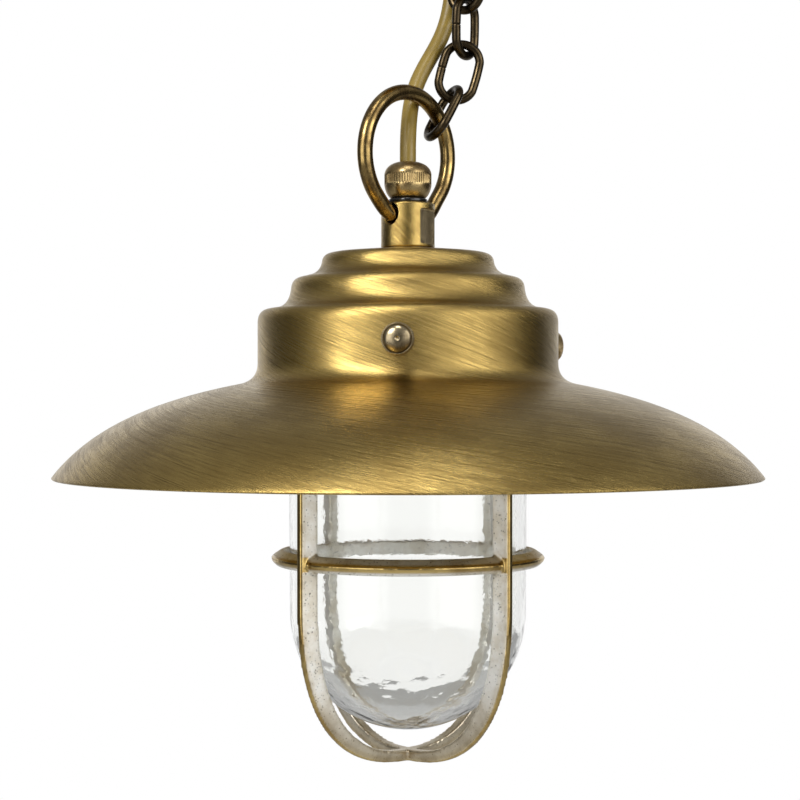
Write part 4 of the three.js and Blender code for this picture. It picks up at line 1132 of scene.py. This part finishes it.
def make_lampholder():
    low, high = span("lampholder_cap")
    cap = softened([
        (18, low), (20, low), (20, high - 13), (17, high - 9), (10, high - 8), (8, high - 6), (8, high),
        (NIPPLE_HOLE, high), (NIPPLE_HOLE, high - 10), (16, high - 11), (18, high - 15),
    ], radius=0.9)
    placed(turned("spun_cap", cap, BRIGHT_BRASS), "lantern", "bright_brass", "lampholder_cap")
    low, high = span("lampholder_skirt")
    skirt = softened([
        (18, high), (18, low + 3), (14.8, low + 3), (14.8, low), (20, low), (21.5, low + 1.5), (20, low + 4),
        (20, low + 16), (19.5, low + 16.6), (20, low + 17.2), (20, high),
    ], radius=0.7)
    placed(turned("spun_skirt", skirt, BRIGHT_BRASS), "lantern", "bright_brass", "lampholder_skirt")
    shell = make_screw_shell(*span("lampholder_screw_shell"))
    placed(shell, "lantern", "zinc_steel", "lampholder_screw_shell")
    low, high = span("hanger_washer")
    washer = softened([(NIPPLE_HOLE, low), (12, low), (12, high), (NIPPLE_HOLE, high)], radius=0.3)
    placed(turned("flat_washer", washer, ZINC), "lantern", "zinc_steel", "hanger_washer")
    low, high = span("threaded_nipple")
    thread = [(CABLE_HOLE, low), (4.6, low)]
    turns = int((high - low) / 0.75)
    pitch = (high - low) / turns
    for k in range(turns):
        thread += [(4.62, low + (k + 0.25) * pitch), (5, low + (k + 0.75) * pitch)]
    thread += [(4.6, high), (CABLE_HOLE, high)]
    nipple = turned("cut_nipple", thread, BRIGHT_BRASS, facets=64)
    placed(nipple, "lantern", "bright_brass", "threaded_nipple")


make_lampholder()


# ---------------------------------------------------------------- ceiling rose

def make_rose():
    low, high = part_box("rose_cover")
    floor, top, rim = low.z / MM, high.z / MM, high.x / MM
    outer = [(rim, top), (rim, top - 0.8), (rim, floor + 12)]
    outer += curved((rim, floor + 12), (rim, floor + 2), (rim - 12, floor + 1), steps=16)
    outer += [(rim - 20, floor + 0.7), (2.8, floor)]
    inner = inner_side(outer, -SHEET)        # negative, because this outline runs downwards
    outline = softened([*outer, *inner[::-1]], radius=0.4)
    cover = turned("spun_rose", outline, ROSE_BRASS, place=AT_ROSE, facets=160)
    bush = middle("rose_cord_bush")
    at_bush = Matrix.Translation((bush.x, bush.y, 0)) @ Matrix.Scale(MM, 4)
    hole = [(0, floor - 3), (4.9, floor - 3), (4.9, floor + 6), (0, floor + 6)]
    cutter = turned("cord_hole", hole, ROSE_BRASS, place=at_bush, facets=40)
    placed(bored(cover, [cutter]), "ceiling_rose", "aged_brass", "rose_cover")
    low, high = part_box("rose_cord_bush")
    foot, head = low.z / MM, high.z / MM
    outline = softened([
        (CABLE_HOLE, foot), (4.6, foot), (5.2, foot + 3), (6.6, foot + 5.5), (6.6, floor - GAP),
        (4.6, floor - GAP), (4.6, head), (CABLE_HOLE, head),
    ], radius=0.6)
    bush = turned("moulded_bush", outline, RUBBER, place=at_bush)
    placed(bush, "ceiling_rose", "black_rubber", "rose_cord_bush")
    low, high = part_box("hook_nut")
    foot, head = low.z / MM, high.z / MM
    outline = softened([(2.8, foot), (4.5, foot), (7, head - 1.6), (7, head), (2.8, head)], radius=0.5)
    placed(turned("turned_nut", outline, ROSE_BRASS, place=AT_ROSE), "ceiling_rose", "aged_brass", "hook_nut")


HOOK_WIRE = 5
HOOK_BOWL = 8


def make_hook():
    """A bent wire hook on the rose's axis, open towards the lantern's side."""
    low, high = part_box("ceiling_hook")
    level = low.z / MM + HOOK_WIRE / 2 + HOOK_BOWL
    top, nut_foot = high.z / MM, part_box("hook_nut")[0].z / MM
    route = [(0, 0, top), (0, 0, (top + nut_foot) / 2), (0, 0, nut_foot), (0, 0, nut_foot - 2)]
    route.append((-HOOK_BOWL * 0.55, 0, level + HOOK_BOWL * 0.85))
    for turn in range(-90, 71, 20):
        swing = math.radians(turn)
        route.append((HOOK_BOWL * math.sin(swing), 0, level - HOOK_BOWL * math.cos(swing)))
    route.append((HOOK_BOWL * 0.95, 0, level + 3))
    _, turn = heading("chain_swing")
    lie = Matrix.Rotation(turn, 4, "Z") @ Matrix.Scale(MM, 4)
    hook = wire("bent_hook", smooth_path(route, 8), HOOK_WIRE / 2, RING_BRASS, place=lie, sides=32)
    placed(hook, "ceiling_rose", "aged_brass", "ceiling_hook")


make_rose()
make_hook()


# ---------------------------------------------------------------- finishes on the nodes that stay

KEPT = {
    "rose_plate": ZINC, "hanger_locknut": ZINC, "lampholder_contact": ZINC, "terminal_block": PORCELAIN,
    "lampholder_insert": PORCELAIN, "upper_cable_tail": SHEATH, "lower_cable_tail": SHEATH,
    "collar_boss_1": BRIGHT_BRASS, "collar_boss_2": BRIGHT_BRASS, "collar_boss_3": BRIGHT_BRASS,
}
for core_name, core_finish in CORES.items():
    KEPT[f"rose_core_{core_name}"] = core_finish
    KEPT[f"lampholder_core_{core_name}"] = core_finish
for node_name, node_finish in KEPT.items():
    frame["nodes"][node_name].material_slots[0].material = node_finish


# ---------------------------------------------------------------- studio

FLOOR_LEVEL = -1.35
FLOOR_HALF = 4


def make_stage():
    floor = line_mesh("floor", [])
    corners = [(FLOOR_HALF * x, FLOOR_HALF * y, FLOOR_LEVEL) for x, y in ((-1, -1), (1, -1), (1, 1), (-1, 1))]
    floor.from_pydata(corners, [], [(0, 1, 2, 3)])
    material, tree, shader, own = finish("pale_floor")
    grain = speckle(tree, own, 9.0, 4.0)
    plug(tree, shader.inputs["Base Color"], tint(tree, grain, (0.86, 0.86, 0.85), (0.82, 0.82, 0.81)))
    shader.inputs["Roughness"].default_value = 0.8
    floor.materials.append(material)
    piece = bpy.data.objects.new("floor", floor)
    bpy.context.scene.collection.objects.link(piece)


# Brightness of the studio by turns from the front, in degrees: two soft boxes, dark sides, a pale wall behind
ROUND_THE_STUDIO = [
    (-180, 0.95), (-146, 0.95), (-130, 0.06), (-70, 0.1), (-60, 1.9), (-26, 1.9), (-16, 0.14), (16, 0.1),
    (27, 1.9), (66, 1.7), (78, 0.04), (136, 0.03), (150, 0.9), (180, 0.95),
]
WHITE = (1, 1, 1, 1)


def make_light():
    world = bpy.data.worlds.new("studio")
    bpy.context.scene.world = world
    world.use_nodes = True
    tree = world.node_tree
    way = add(tree, "ShaderNodeSeparateXYZ", {0: add(tree, "ShaderNodeTexCoord").outputs["Generated"]})
    x, y, z = way.outputs
    turn = maths(tree, "ARCTAN2", x, maths(tree, "MULTIPLY", y, -1.0))
    share = maths(tree, "ADD", maths(tree, "DIVIDE", turn, 2 * math.pi), 0.5)
    ramp = add(tree, "ShaderNodeValToRGB", {"Fac": share})
    stops = ramp.color_ramp.elements
    while len(stops) > 1:
        stops.remove(stops[-1])
    for i, (degrees, level) in enumerate(ROUND_THE_STUDIO):
        stop = stops[0] if i == 0 else stops.new(degrees / 360 + 0.5)
        stop.position = degrees / 360 + 0.5
        stop.color = (level / 2, level / 2, level / 2, 1)
    sides = maths(tree, "MULTIPLY", ramp.outputs["Color"], 2.0)
    above = remap(tree, z, 0.16, 0.6)
    below = remap(tree, z, -0.25, -0.6)
    lit = add(tree, "ShaderNodeMix", {"Factor": above, "A": sides, "B": 0.3})
    lit = add(tree, "ShaderNodeMix", {"Factor": below, "A": lit.outputs[0], "B": 0.5})
    path = add(tree, "ShaderNodeLightPath")
    seen = maths(tree, "MAXIMUM", path.outputs["Is Camera Ray"], path.outputs["Is Transmission Ray"])
    strength = add(tree, "ShaderNodeMix", {"Factor": seen, "A": lit.outputs[0], "B": 1.0})
    background = next(n for n in tree.nodes if n.type == "BACKGROUND")
    background.inputs["Color"].default_value = WHITE
    plug(tree, background.inputs["Strength"], strength.outputs[0])
    bpy.context.scene.view_settings.view_transform = "Standard"
    for name, place, size, power in (
        ("key_light", (-0.9, -1.1, 0.75), 0.7, 18),
        ("fill_light", (1.2, -0.8, 0.4), 0.9, 6),
        ("high_light", (-0.03, -0.52, 0.85), 0.35, 3),
    ):
        lamp = bpy.data.lights.new(name, "AREA")
        lamp.size = size
        lamp.energy = power
        light = bpy.data.objects.new(name, lamp)
        light.location = place
        light.rotation_euler = (Vector(place) - LANTERN).to_track_quat("Z", "Y").to_euler()
        bpy.context.scene.collection.objects.link(light)


make_stage()
make_light()
